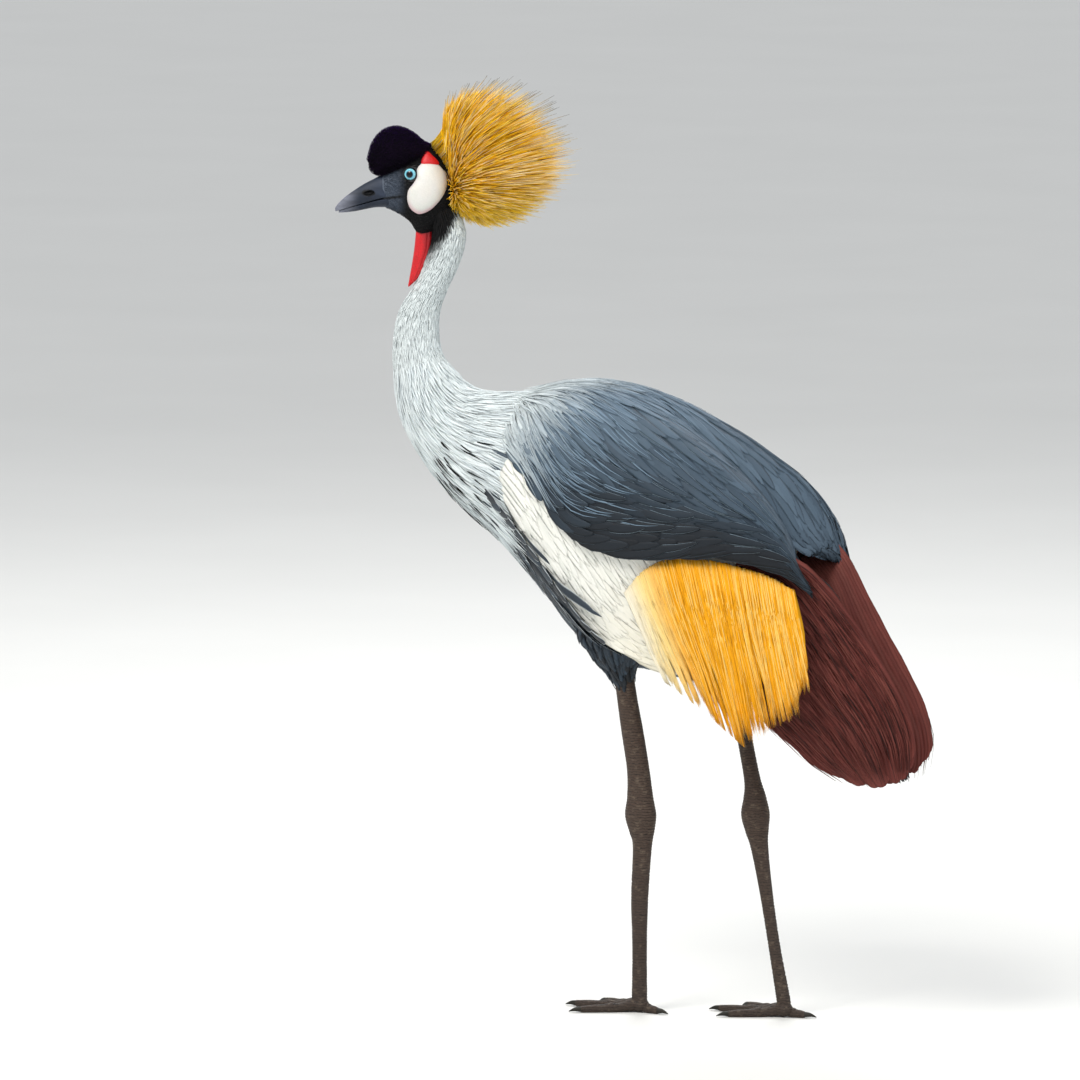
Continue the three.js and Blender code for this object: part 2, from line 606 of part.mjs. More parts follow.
// A share from 0 to 1 that jumps about as k counts up, with `count` different values.
const scattered = (k, count) => ((k * SCATTER_STRIDE) % count) / (count - 1);

// A shell under such a surface. Its inner face is drawn part of the way in to a core line.
function shell(table, side, core, { grow = 0, ...fineness } = {}) {
  const grid = surface(table, side, fineness);
  const share = core.share + (grow > 0 ? CORE_CLEARANCE : 0);
  const inner = grid.map((row) => {
    const low = row[row.length - 1];
    const middle = V((row[0].x + low.x) / 2, core.y * side, (row[0].z + low.z) / 2);
    return row.map((p) => p.clone().lerp(middle, share));
  });
  return sheet(moved(grid, side, grow, 2 * grow), inner);
}

// A curtain of even thickness under such a surface.
function curtain(table, side, thickness, { grow = 0, ...fineness } = {}) {
  const grid = surface(table, side, fineness);
  return sheet(moved(grid, side, grow, grow), moved(grid, side, -thickness - grow, grow));
}

const inHead = (solid) => solid.translate(HEAD_JOINT.map((v) => -v)).rotate([0, 0, -HEAD_TURN]);

// Neck and torso.
const neckUpper = form(BODY, { to: NECK_CUT, sides: 16, ends: -GAP / 2 });
const neckLower = form(BODY, { from: NECK_CUT, to: BREAST_CUT, sides: 16, ends: -GAP / 2 });
const torso = form(BODY, { from: BREAST_CUT, ...TRUNK_MESH, ends: -GAP / 2 });
const trunkRoom = form(BODY, { from: BREAST_CUT - 3, ...TRUNK_MESH, grow: GAP });
const trunkRoomBehind = form(BODY, { from: BREAST_CUT, ...TRUNK_MESH, grow: GAP, ends: GAP / 2 });
const neckRoom = inHead(form(BODY, { to: NECK_CUT + 2, sides: 16, grow: GAP }));

addMesh("neck_upper", neckUpper, PALE_GREY);
// Hackles: lance-shaped vanes in rows round the lower neck, their tips over the breast.
const hackles = [];
HACKLE_ROWS.forEach((start, row) => {
  for (let k = 0; k < HACKLES_A_ROW; k++) {
    const spread = (2 * (k + (row % 2 ? 0.5 : 0))) / HACKLES_A_ROW - 1;
    const angle = Math.PI + spread * HACKLE_SPREAD;
    const places = PATH_SHARES.map((t) => {
      const depth = lerp(HACKLE.sink, HACKLE.lift, Math.min(1, HACKLE.rise * t));
      return placeOnBody(start + t * HACKLE.rows, angle - HACKLE.turn * spread * t, depth);
    });
    const { width, thickness } = HACKLE;
    hackles.push(vane(places, { width, thickness, rows: 3, columns: 1, droop: 0.3 }));
  }
});
addMesh("neck_lower", cut(unite([neckLower, ...hackles]), trunkRoomBehind), PALE_GREY);
addMesh("torso", torso, SLATE);

// Head: skull with lids and mouth line, cap, bill, cheeks, eyes and throat lobe.
const SIDES = [["left", -1], ["right", 1]];
const beside = ([x, y, z], side) => [x, y * side, z];
const eyeball = (side, grow = 0) =>
  ellipsoid(beside(EYE, side), [EYE_RADIUS, EYE_RADIUS, EYE_RADIUS], { wide: 12, tall: 8, grow });
const lid = (side, grow = 0) => ellipsoid(beside(LID.centre, side), LID.radii, { wide: 10, tall: 6, grow });
const cheek = (side, grow = 0) =>
  ellipsoid(beside(CHEEK.centre, side), CHEEK.radii, { wide: 14, tall: 10, tilt: CHEEK.tilt, grow });
const skull = (grow = 0) => form(SKULL, { sides: 16, grow });
const cap = (grow = 0) => form(CAP, { sides: 14, grow });

const eyeRooms = SIDES.map(([, side]) => eyeball(side, GAP));
const lids = SIDES.map(([, side]) => lid(side));
const lidRooms = SIDES.map(([, side]) => lid(side, GAP));
const headRoom = unite([skull(GAP), ...lidRooms]);
const capRoom = cap(GAP);
const mouthLine = cut(box(MOUTH.low, MOUTH.high), skull(-MOUTH.depth));
addMesh("head", cut(unite([skull(), ...lids]), neckRoom, ...eyeRooms, mouthLine), BLACK, headGroup);
addMesh("forehead_cap", cut(cap(), headRoom), BLACK, headGroup);

const nostrils = SIDES.map(([, side]) =>
  ellipsoid(beside(NOSTRIL.centre, side), NOSTRIL.radii, { wide: 8, tall: 6, tilt: NOSTRIL.tilt }),
);
const upperBill = form(UPPER_BILL, { sides: 14, step: 1 });
addMesh("bill_upper", cut(upperBill, capRoom, headRoom, ...nostrils), HORN, headGroup);
addMesh("bill_lower", cut(form(LOWER_BILL, { sides: 12, step: 1 }), headRoom), HORN, headGroup);
addMesh("throat_lobe", cut(form(THROAT_LOBE, { sides: 10 }), neckRoom, headRoom), RED, headGroup);
for (const [word, side] of SIDES) {
  addMesh("eye_" + word, eyeball(side), EYE_BLUE, headGroup);
  addMesh("cheek_" + word, cut(cheek(side), headRoom, capRoom, neckRoom, ...eyeRooms), WHITE, headGroup);
}

// Crest: bristles that stand out from a pad on the back of the skull to an oval outline.
const cheekRooms = SIDES.map(([, side]) => cheek(side, GAP));
const pad = ellipsoid(CREST_PAD.centre, CREST_PAD.radii, { wide: 10, tall: 8, tilt: CREST_PAD.tilt });
const crest = [pad];
for (let k = 0; k < CREST_BRISTLES; k++) {
  const forward = lerp(CREST_BACK, CREST_FRONT, (k + 0.5) / CREST_BRISTLES);
  const turn = k * GOLDEN_ANGLE;
  const ring = Math.sqrt(1 - forward * forward);
  const [dx, dy, dz] = [-forward, ring * Math.cos(turn), ring * Math.sin(turn)];
  const length = lerp(1, CREST_SHORTEST, scattered(k, 5));
  const tip = V(...CREST.centre).add(V(dx * CREST.radii[0], dy * CREST.radii[1], dz * CREST.radii[2]));
  const { back, slant, wide, tall } = CREST_ROOTS;
  const root = V(...CREST_PAD.centre).add(V(back + slant * dz, wide * dy, tall * dz));
  tip.lerp(root, 1 - length);
  const middle = root.clone().lerp(tip, 0.5).add(V(0, 0, CREST_ARCH * (1 - Math.abs(dz))));
  crest.push(bristle([root, middle, tip], BRISTLE_RADII));
}
addMesh("crest", cut(unite(crest), skull(2 * GAP), capRoom, neckRoom, ...cheekRooms), GOLD, headGroup);

// Tail, and on each side the wing, the long feathers behind it and the back feathers over it.
const bundleRoom = (table, side, grow = 2 * GAP) =>
  form(table, { sides: 12, step: 1, side, boxy: BUNDLE_BOXY, grow });
const tailRoom = bundleRoom(TAIL, 1);
const tail = [form(TAIL, { sides: 10, to: 0.5 })];
for (let k = 0; k < TAIL_FEATHERS; k++) {
  const across = (2 * k) / (TAIL_FEATHERS - 1) - 1;
  const places = PATH_SHARES.map((t) => {
    const [tx, tz, bx, bz, half] = along(TAIL.map(rowOf), t * (TAIL.length - 1));
    const up = V(tx - bx, 0, tz - bz);
    const depth = TAIL_ARCH.middle - TAIL_ARCH.fall * Math.abs(across);
    const out = V(Math.cos(TAIL_LEAN), 0, Math.sin(TAIL_LEAN));
    return { at: V(bx, across * half * TAIL_ARCH.spread, bz).addScaledVector(up, depth), out };
  });
  tail.push(vane(places, { ...TAIL_VANE, outline: BLUNT_OUTLINE, columns: 1 }));
}
addMesh("tail", cut(unite(tail), trunkRoom), BLACK);

// Feathers of a bundle: each runs from its share of the root chord to its own tip.
function bundle(table, side, tips, { width, thickness, stub, rows }) {
  const pieces = [form(table, { sides: 12, to: stub, side })];
  tips.forEach(([row, share], k) => {
    const layer = ((2 * k) / (tips.length - 1) - 1) * BUNDLE_FILL;
    const rootShare = (k + 0.5) / tips.length;
    const places = PATH_SHARES.map((t) => {
      const inset = (width / 2) * (t < 1 ? 1 : BLUNT_OUTLINE[BLUNT_OUTLINE.length - 1]);
      return placeInBundle(table, side, t * row, lerp(rootShare, share, smooth(t)), layer, inset);
    });
    pieces.push(vane(places, { width, thickness, rows, columns: 1, outline: BLUNT_OUTLINE, droop: 0 }));
  });
  return unite(pieces);
}

const wing = (side, grow = 0) => shell(WING, side, WING_CORE, { columns: 6, rowStep: 1, grow });
const plumeShift = (side) => [side > 0 ? FAR_PLUMES_SHIFT : 0, 0, 0];
const plumesRoomOn = (side, grow) =>
  curtain(PLUMES, side, PLUME_THICKNESS, { columns: 6, rowStep: 1, grow }).translate(plumeShift(side));

// Plumes: narrow vanes in two layers that hang from one root strip.
function plumesOn(side) {
  const strip = Array.from({ length: PLUMES.length }, (_, row) => {
    const { at } = placeOn(PLUMES, side, row, PLUME_ROOT, -PLUME_THICKNESS / 2);
    return [at.x, at.y, at.z, PLUME_THICKNESS / 2 - PLUME_TOP, PLUME_THICKNESS / 2 - PLUME_TOP];
  });
  const [from, to] = [PLUME_EDGE / 2, strip.length - 1 - PLUME_EDGE / 2];
  const pieces = [limb(strip, { sides: 6, step: 1, from, to, across: V(0, 0, 1) })];
  for (let k = 0; k < PLUME_COUNT; k++) {
    const row = lerp(PLUME_EDGE, PLUMES.length - 1 - PLUME_EDGE, k / (PLUME_COUNT - 1));
    const depth = k % 2 ? -PLUME_TOP : -PLUME_THICKNESS / 2;
    const tipColumn = PLUMES[0].length - 1 - PLUME_UNEVEN * scattered(k, 7);
    const drift = PLUME_DRIFT * Math.sin(k * GOLDEN_ANGLE);
    const places = PATH_SHARES.map((t) =>
      placeOn(PLUMES, side, row + drift * t, lerp(PLUME_ROOT, tipColumn, t), depth),
    );
    pieces.push(vane(places, { ...PLUME_VANE, rows: 3, columns: 1, droop: 0 }));
  }
  return unite(pieces).translate(plumeShift(side));
}

// Back feathers: overlapping vanes in tiers over the cape, from the shoulder to the rear.
function capeVanes(side) {
  const vanes = [];
  for (const { row, columns } of CAPE_TIERS)
    for (const column of columns) {
      const { width, thickness, sink, lift, rise } = CAPE_VANE;
      const places = PATH_SHARES.map((t) => {
        const depth = lerp(sink, lift, Math.min(1, rise * t));
        return placeOn(CAPE, side, row + t * CAPE_VANE.rows, column + t * CAPE_VANE.columns, depth);
      });
      vanes.push(vane(places, { width, thickness, rows: 3, columns: 1, droop: 1 }));
    }
  return vanes;
}

for (const [word, side] of SIDES) {
  const wingRoom = wing(side, 2 * GAP);
  const secondariesRoom = bundleRoom(SECONDARIES, side);
  const roomOverPrimaries = bundleRoom(SECONDARIES, side, PRIMARY_CLEARANCE);
  const plumesRoom = plumesRoomOn(side, 2 * GAP);
  const cape = unite([shell(CAPE, side, CAPE_CORE, { columns: 7, rowStep: 1 }), ...capeVanes(side)]);
  const secondaries = bundle(SECONDARIES, side, SECONDARY_TIPS, SECONDARY_VANE);
  const primaries = bundle(PRIMARIES, side, PRIMARY_TIPS, PRIMARY_VANE);
  addMesh("primaries_" + word, cut(primaries, trunkRoom, tailRoom, roomOverPrimaries), BLACK);
  addMesh("secondaries_" + word, cut(secondaries, trunkRoom, tailRoom, plumesRoom, wingRoom), CHESTNUT);
  addMesh("wing_" + word, cut(wing(side), trunkRoom, plumesRoom), WHITE);
  addMesh("plumes_" + word, plumesOn(side), GOLD);
  const capeRooms = [trunkRoom, tailRoom, wingRoom, secondariesRoom, plumesRoomOn(side, 4 * GAP)];
  addMesh("cape_" + word, cut(cape, ...capeRooms), SLATE);
}

// Legs and feet.
for (const [word, side, thighRows, leg] of [
  ["left", -1, LEFT_THIGH, LEFT_LEG],
  ["right", 1, RIGHT_THIGH, RIGHT_LEG],
]) {
  const thigh = limb(thighRows, { sides: 14 });
  const legRoom = limb(leg, { sides: 10, grow: GAP });
  addMesh("thigh_" + word, cut(thigh, trunkRoom, wing(side, GAP), legRoom), SLATE);
  addMesh("shank_" + word, limb(leg, { sides: 10, to: ANKLE_ROW, ends: -GAP / 2 }), LEG_SKIN);
  addMesh("tarsus_" + word, limb(leg, { sides: 10, from: ANKLE_ROW, ends: -GAP / 2 }), LEG_SKIN);

  const [footX, footY] = leg[leg.length - 1];
  const foot = [ellipsoid([footX, footY, HUB.height], HUB.radii, { wide: 10, tall: 6 })];
  for (const [name, toe] of Object.entries(TOES)) {
    const yaw = radians(180 - toe.turn * side);
    const ahead = V(Math.cos(yaw), Math.sin(yaw), 0);
    const across = V(-ahead.y, ahead.x, 0);
    const on = (rows) =>
      rows.map(([far, up, radius]) => [footX + ahead.x * far, footY + ahead.y * far, up, radius, radius]);
    const toePath = TOE_SHAPE.map(([part, up, radius]) => [part * toe.length, up, radius]);
    const clawStart = toe.length + GAP;
    const clawPath = CLAW_SHAPE.map(([part, up, radius]) => [clawStart + part * CLAW_LENGTH, up, radius]);
    foot.push(limb(on(toePath), { sides: 8, step: 1, across }));
    addMesh("claw_" + word + "_" + name, limb(on(clawPath), { sides: 6, step: 1, across }), HORN);
  }
  const { reach, depth } = FLOOR;
  const under = box([footX - reach, footY - reach, -depth], [footX + reach, footY + reach, 0]);
  addMesh("foot_" + word, cut(unite(foot), under, legRoom), LEG_SKIN);
}

export default crane;
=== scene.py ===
# A grey crowned crane at rest: skin, feathers, bill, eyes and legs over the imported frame.
# The tables are in millimetres in the frame that the bird was drawn in, and go to metres once.
import math
import bpy
import numpy as np
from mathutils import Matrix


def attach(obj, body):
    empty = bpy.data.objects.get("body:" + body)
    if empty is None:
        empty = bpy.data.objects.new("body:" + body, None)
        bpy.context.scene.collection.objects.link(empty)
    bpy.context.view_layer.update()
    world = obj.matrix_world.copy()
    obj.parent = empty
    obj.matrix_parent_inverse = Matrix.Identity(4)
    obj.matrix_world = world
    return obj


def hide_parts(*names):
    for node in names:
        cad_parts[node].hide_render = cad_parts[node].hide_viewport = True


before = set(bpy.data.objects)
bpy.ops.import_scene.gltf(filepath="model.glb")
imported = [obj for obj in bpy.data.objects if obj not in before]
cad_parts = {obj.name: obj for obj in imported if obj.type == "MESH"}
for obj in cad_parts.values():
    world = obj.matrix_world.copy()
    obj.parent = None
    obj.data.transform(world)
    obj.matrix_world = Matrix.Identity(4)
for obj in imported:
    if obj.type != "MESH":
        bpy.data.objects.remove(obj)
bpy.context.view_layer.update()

MM = 0.001
DRAWN_SHIFT = np.array([-6.0, 0.0, 0.0])
SIDES = (("left", -1), ("right", 1))

# Camera: the photograph's viewing angle, its scale at the bird and where the bird stands in it.
PHOTO_SIZE = 1080
AZIMUTH = 26
ELEVATION = 8
PIXEL = 1.08
ORIGIN_PIXEL = (632, 1010)
DISTANCE = 12
SENSOR = 36

# Head.
HEAD_TURN = 26
HEAD_JOINT = np.array([-230.0, 0.0, 864.0])
EYE = np.array([-32.4, 14.0, 36.5])
EYE_RADIUS = 7.5
SOCKET_GAP = 0.2
LID = np.array([-32.4, 13.6, 36.5])
LID_RADII = [9.4, 5.4, 8.6]

# The skin's grain in metres, and how far skin and feather roots lie inside the outlines below.
SKIN_VOXEL = 0.003
SKIN_DEPTH = -3.5
BODY_ROOTS = -3.0
SKULL_ROOTS = -0.8
CAP_ROOTS = -2.2

# Sections in side view: top x, top z, bottom x, bottom z, half width.
BODY = np.array([
    [-214, 868, -243, 860, 18], [-201, 836, -240, 830, 19.5], [-208, 804, -252, 798, 19.5],
    [-221, 778, -265, 771, 19.5], [-232, 749, -280, 748, 20], [-233, 716, -287, 718, 22],
    [-225, 694, -286, 680, 26], [-206, 674, -272, 626, 37], [-184, 664, -240, 580, 50],
    [-150, 664, -196, 538, 64], [-105, 668, -143, 500, 80], [-52, 670, -97, 455, 92],
    [8, 662, -62, 414, 96], [64, 636, -26, 386, 94], [116, 600, 26, 374, 84],
    [160, 556, 82, 366, 66], [194, 512, 134, 370, 45], [214, 474, 176, 388, 25],
    [218, 452, 198, 412, 11],
], float)
SKULL = np.array([
    [12, 34, 14, 16, 9], [8, 44, 12, 2, 15], [0, 53, 6, -14, 19.5], [-10, 63.5, -8, -27, 22],
    [-21, 66, -23, -31, 22], [-35, 59, -34, -16.5, 20], [-50, 46, -50, -6, 15.5],
    [-64, 34.5, -62, -1, 11.5],
], float)
UPPER_BILL = np.array([
    [-46, 40, -46, 12, 9.5], [-61, 35.6, -60, 9.2, 11.5], [-73, 29.8, -71, 6.8, 9.6],
    [-84, 24, -82, 3.6, 7.8],
    [-94, 17.5, -93, 0.4, 6.2], [-104, 10.2, -103, -2.4, 4.6], [-111.5, 3, -110.8, -4.6, 2.8],
    [-115, -2, -114.4, -5.6, 1.1],
], float)
LOWER_BILL = np.array([
    [-46, 11, -46, 1, 9], [-60, 9.6, -59.6, -0.8, 11], [-71, 7.2, -71, -1.2, 8.6], [-82, 4, -82, -3.2, 6.6],
    [-93, 0.9, -93, -5.4, 5], [-103, -2, -103, -6.6, 3.3], [-111, -4.8, -111, -7, 1.2],
], float)
CAP = np.array([
    [-11, 68, -11, 63, 5], [-20, 72, -18, 50, 15], [-32, 82, -30, 44, 20.5], [-47, 87.6, -42, 38, 22.5],
    [-62, 84, -56, 34, 21], [-73, 72, -66, 33, 16.5], [-78, 57, -73, 36, 10], [-79, 50, -77, 42, 4],
], float)
THROAT_LOBE = np.array([
    [-8, -26, -27, -24, 7], [-9, -44, -29, -45, 7.4], [-15, -60, -31.5, -62, 6.4],
    [-22, -74, -34, -76, 4.6], [-27, -80.5, -35, -82, 3.2], [-31.5, -85, -35.8, -86, 1.8],
    [-34.5, -87.6, -35.6, -88, 0.5],
], float)
# Outlines of the bare cheek and the red patch above it: x, z in the head's frame.
CHEEK = np.array([
    [-19, 49.5], [-10, 50], [-2.5, 46.5], [4.5, 38], [6.8, 28], [4.5, 17.5], [-3, 6], [-13, -3], [-24, -6.6],
    [-32.5, -1.5], [-36.3, 8], [-35.5, 19], [-29.8, 27], [-25.8, 34], [-25.5, 43],
], float)
RED_PATCH = np.array([
    [-16, 61.5], [-9.5, 57], [-3, 50.5], [-2.6, 46.8], [-12, 46.6], [-20.5, 47.5], [-20.5, 53],
], float)
CREST_CENTRE = np.array([64.0, 0.0, 59.0])
CREST_RADII = np.array([88.0, 66.0, 86.0])
# Crest roots from the nape up to the crown: height of the tip's direction, x, z.
CREST_ROOTS = np.array([[-1, 18, 2], [-0.4, 14, 20], [0.3, 10, 41], [0.75, 0, 57], [1, -9, 67]], float)
CREST_FRONT = 0.66
BRISTLES = 5000

# Surfaces of the folded wing, the back feathers and the plumes: points of each section.
WING = np.array([
    [[-120, 76, 602], [-125, 81, 586], [-120, 81, 563]], [[-84, 72, 636], [-90, 93, 590], [-94, 90, 536]],
    [[-40, 84, 632], [-42, 100, 560], [-48, 90, 480]], [[10, 90, 612], [6, 104, 530], [-14, 86, 435]],
    [[60, 90, 590], [50, 103, 500], [28, 80, 403]], [[110, 84, 560], [98, 99, 480], [78, 78, 388]],
    [[150, 76, 530], [148, 88, 470], [130, 74, 392]],
], float)
CAPE = np.array([
    [[-112, 1, 674], [-112, 34, 664], [-116, 62, 640], [-118, 78, 612]],
    [[-62, 1, 682], [-62, 42, 675], [-68, 90, 636], [-76, 98, 590]],
    [[-10, 1, 678], [-12, 48, 671], [-20, 104, 624], [-24, 110, 530]],
    [[40, 1, 660], [44, 54, 655], [40, 109, 606], [38, 116, 516]],
    [[92, 1, 622], [98, 56, 631], [96, 106, 588], [96, 114, 514]],
    [[136, 1, 588], [144, 56, 604], [147, 98, 568], [147, 106, 518]],
    [[168, 2, 556], [178, 56, 578], [186, 87, 550], [187, 92, 512]],
    [[192, 8, 524], [205, 55, 542], [213, 74, 526], [215, 78, 502]],
    [[212, 40, 504], [220, 54, 508], [227, 62, 498], [228, 64, 488]],
], float)
PLUMES = np.array([
    [[44, 112, 474], [58, 110, 445], [72, 104, 410], [84, 96, 380]],
    [[68, 112, 500], [88, 111, 450], [108, 104, 400], [124, 95, 356]],
    [[105, 109, 516], [124, 109, 450], [144, 102, 390], [160, 92, 330]],
    [[140, 102, 513], [156, 105, 450], [170, 98, 380], [180, 88, 318]],
    [[172, 94, 506], [184, 97, 450], [195, 91, 390], [203, 82, 338]],
    [[200, 82, 497], [210, 86, 450], [218, 82, 400], [226, 76, 356]],
    [[222, 71, 483], [230, 74, 450], [236, 72, 424], [239, 68, 400]],
], float)
FAR_PLUMES_SHIFT = 14

# Bundles of long feathers: top x, top z, bottom x, bottom z, half thickness, y, lean.
SECONDARIES = np.array([
    [166, 540, 154, 424, 9, 76, 8], [203, 530, 153, 408, 11, 65, 21], [236, 512, 154, 390, 12, 55, 30],
    [261, 484, 161, 364, 12, 45, 36], [289, 446, 168, 340, 11, 37, 36], [315, 408, 177, 322, 9, 31, 28],
    [342, 362, 199, 302, 8, 25, 18], [355, 318, 223, 282, 7, 21, 10], [352, 270, 256, 263, 4, 18, 6],
], float)
PRIMARIES = np.array([
    [176, 470, 140, 420, 6, 56, 0], [214, 430, 172, 388, 4, 38, 0], [252, 386, 212, 350, 3, 24, 0],
    [290, 330, 258, 304, 2, 13, 0], [318, 280, 302, 264, 1.5, 9, 0],
], float)
TAIL = np.array([
    [214, 494, 192, 462, 14], [242, 470, 222, 448, 20], [274, 410, 256, 396, 17],
    [304, 340, 288, 330, 12], [330, 276, 318, 268, 8],
], float)

# Legs: x, y, z, fore-and-aft radius and side radius, from the top down.
THIGHS = {
    "left": np.array([
        [30, -38, 470, 66, 30], [4, -38, 425, 56, 28], [2, -38, 398, 38, 22], [4.5, -37, 378, 20, 15],
        [8.5, -36.3, 362, 12.8, 11.4],
    ], float),
    "right": np.array([
        [96, 38, 470, 62, 30], [98, 38, 430, 46, 26], [103, 38, 395, 28, 20], [106.8, 36.4, 365, 16, 13],
        [111.2, 35.5, 344, 11, 10.6],
    ], float),
}
LEGS = {
    "left": np.array([
        [5.5, -37.4, 396, 9, 8], [7.5, -36.9, 376, 10.4, 9], [11.7, -35.4, 343, 11, 9.6],
        [17, -33.9, 309, 12, 10], [23, -32, 268, 12.4, 10.2], [24.8, -30.7, 238, 14.5, 11.5],
        [25, -29.8, 218, 17.4, 13.5], [26.1, -29, 200, 14, 11.5], [26.2, -28.2, 182, 10.4, 9],
        [22, -25.7, 126, 9.4, 7.8], [20.8, -23.2, 70, 7.9, 7], [19.6, -20.8, 17, 8.3, 7.6],
        [19.6, -20.8, 7, 7, 6.6],
    ], float),
    "right": np.array([
        [102.5, 37, 380, 8, 8], [105.8, 36.3, 362, 8.6, 8.4], [113.6, 34.8, 328, 8.2, 8.2],
        [120.3, 33.3, 295, 8, 8], [129.2, 31.5, 256, 8.8, 8.4], [132.6, 30.7, 237, 12.4, 10],
        [134, 29.8, 218, 16, 12], [136.4, 29, 200, 13, 10.5], [139.8, 28.2, 182, 9.6, 8.4],
        [148.8, 26, 134, 6.8, 7], [160.1, 23.4, 75, 6.2, 6.4], [172.4, 20.8, 17, 7.4, 7.2],
        [172.4, 20.8, 7, 6.6, 6.4],
    ], float),
}
TOES = {"middle": (0, 76), "inner": (-28, 60), "outer": (30, 64), "hind": (172, 24)}
TOE_SHAPE = np.array([
    [0.0, 8.6, 7.4], [0.12, 8, 7], [0.35, 5, 5], [0.48, 5, 5.4], [0.62, 4.2, 4.6], [0.8, 3.9, 4.3],
    [1, 3.4, 3.4],
])
CLAW_SHAPE = np.array([[-0.25, 3.5, 2.6], [0, 3.7, 3], [0.5, 3.6, 2.1], [1, 1.6, 0.5]])
CLAW_LENGTH = 13
HUB_RADII = [10.5, 9.5, 8.0]
HUB_HEIGHT = 8.2


# Numbers and colours.
def ink(code):
    values = np.array([int(code[i:i + 2], 16) / 255 for i in (0, 2, 4)])
    return np.where(values <= 0.04045, values / 12.92, ((values + 0.055) / 1.055) ** 2.4)


def smoothstep(low, high, value):
    t = np.clip((value - low) / (high - low), 0, 1)
    return t * t * (3 - 2 * t)


def mix(a, b, share):
    return a + (b - a) * share


def unit(vectors):
    return vectors / np.maximum(np.linalg.norm(vectors, axis=-1, keepdims=True), 1e-9)


def seeded(number):
    return np.random.default_rng(number)


# Weights of the four table rows round row number t, straight on past the ends.
def weights(count, t):
    inside = np.clip(t, 0, count - 1)
    start = np.minimum(np.floor(inside), count - 2)
    f = inside - start
    parts = [-f + 2 * f**2 - f**3, 2 - 5 * f**2 + 3 * f**3, f + 4 * f**2 - 3 * f**3, f**3 - f**2]
    w = 0.5 * np.stack(parts, -1)
    w[..., 2] += t - inside
    w[..., 1] -= t - inside
    index = np.clip(start[..., None].astype(int) + np.arange(-1, 3), 0, count - 1)
    return index, w


def along(table, t):
    index, w = weights(len(table), np.asarray(t, float))
    return np.einsum("...i,...ik->...k", w, table[index])


# A surface known by the place of (u, v) and a rough outward direction there.
class Surface:
    def __init__(self, place, outward, patch):
        self.place = place
        self.outward = outward
        self.patch = patch

    def tangents(self, u, v, reach=0.03):
        pu = (self.place(u + reach, v) - self.place(u - reach, v)) / (2 * reach)
        pv = (self.place(u, v + reach) - self.place(u, v - reach)) / (2 * reach)
        return pu, pv

    def normal(self, u, v):
        pu, pv = self.tangents(u, v)
        out = unit(np.cross(pu, pv))
        turn = np.sign(np.sum(out * self.outward(u, v), -1, keepdims=True))
        return out * np.where(turn == 0, 1, turn)

    # Where (u, v) lies on the flat unwrap, from 0 to 1 both ways.
    def unwrap(self, u, v):
        (u0, u1), (v0, v1) = self.patch
        flat = np.stack([(u - u0) / (u1 - u0), (v - v0) / (v1 - v0)], -1)
        return np.clip(flat, 0, 1) * 0.98 + 0.01


def oval_place(table, grow=0.0, shift=(0, 0, 0), head=False):
    def place(u, v):
        tx, tz, bx, bz, half = np.moveaxis(along(table, u), -1, 0)
        zero = np.zeros_like(tx)
        up = np.stack([(tx - bx) / 2, zero, (tz - bz) / 2], -1)
        tall = np.linalg.norm(up, axis=-1, keepdims=True)
        middle = np.stack([(tx + bx) / 2, zero, (tz + bz) / 2], -1)
        out = up / tall * (tall + grow) * np.cos(v)[..., None]
        out = out + np.stack([zero, (half + grow) * np.sin(v), zero], -1)
        points = middle + out + np.array(shift)
        return from_head(points) if head else points
    return place


def oval_surface(table, grow=0.0, head=False):
    place = oval_place(table, grow, head=head)
    inner = oval_place(table * [1, 1, 1, 1, 0.02], 0, head=head)

    def outward(u, v):
        return place(u, v) - (inner(u, np.zeros_like(v)) + inner(u, np.full_like(v, math.pi))) / 2
    return Surface(place, outward, ((0, len(table) - 1), (-math.pi, math.pi)))


def grid_surface(table, side, below, shift=(0, 0, 0)):
    points = table * [1, side, 1] + np.array(shift)

    def place(u, v):
        ui, uw = weights(points.shape[0], u)
        vi, vw = weights(points.shape[1], v)
        near = points[ui[..., :, None], vi[..., None, :]]
        return np.einsum("...i,...j,...ijk->...k", uw, vw, near)

    def outward(u, v):
        return place(u, v) * [0, 1, 0] + np.array([0, 0, below])
    return Surface(place, outward, ((0, points.shape[0] - 1), (0, points.shape[1] - 1)))


# A bundle's face: u is the row number, v the share up the chord; layer is -1 inside, 1 outside.
def bundle_surface(table, side, layer):
    def place(u, v):
        tx, tz, bx, bz, half, y, lean = np.moveaxis(along(table, u), -1, 0)
        across = (y + lean * (0.5 - v) + layer * half) * side
        return np.stack([mix(bx, tx, v), across, mix(bz, tz, v)], -1)

    def outward(u, v):
        return np.array([0.0, side, 0.0])
    return Surface(place, outward, ((0, len(table) - 1), (0, 1)))


def limb_surface(table):
    def place(u, v):
        x, y, z, fore, aside = np.moveaxis(along(table, u), -1, 0)
        before = along(table, u - 0.1)
        after = along(table, u + 0.1)
        ahead = unit((after - before)[..., [0, 2]])
        front = np.cos(v) * fore
        return np.stack([x + front * ahead[..., 1], y + aside * np.sin(v), z - front * ahead[..., 0]], -1)

    def outward(u, v):
        return place(u, v) - along(table, u)[..., :3]
    return Surface(place, outward, ((0, len(table) - 1), (-math.pi, math.pi)))


def turned(points, degrees):
    c, s = math.cos(math.radians(degrees)), math.sin(math.radians(degrees))
    x, y, z = np.moveaxis(points, -1, 0)
    return np.stack([x * c - y * s, x * s + y * c, z], -1)


def from_head(points):
    return turned(points, HEAD_TURN) + HEAD_JOINT


def to_head(points):
    return turned(points - HEAD_JOINT, -HEAD_TURN)


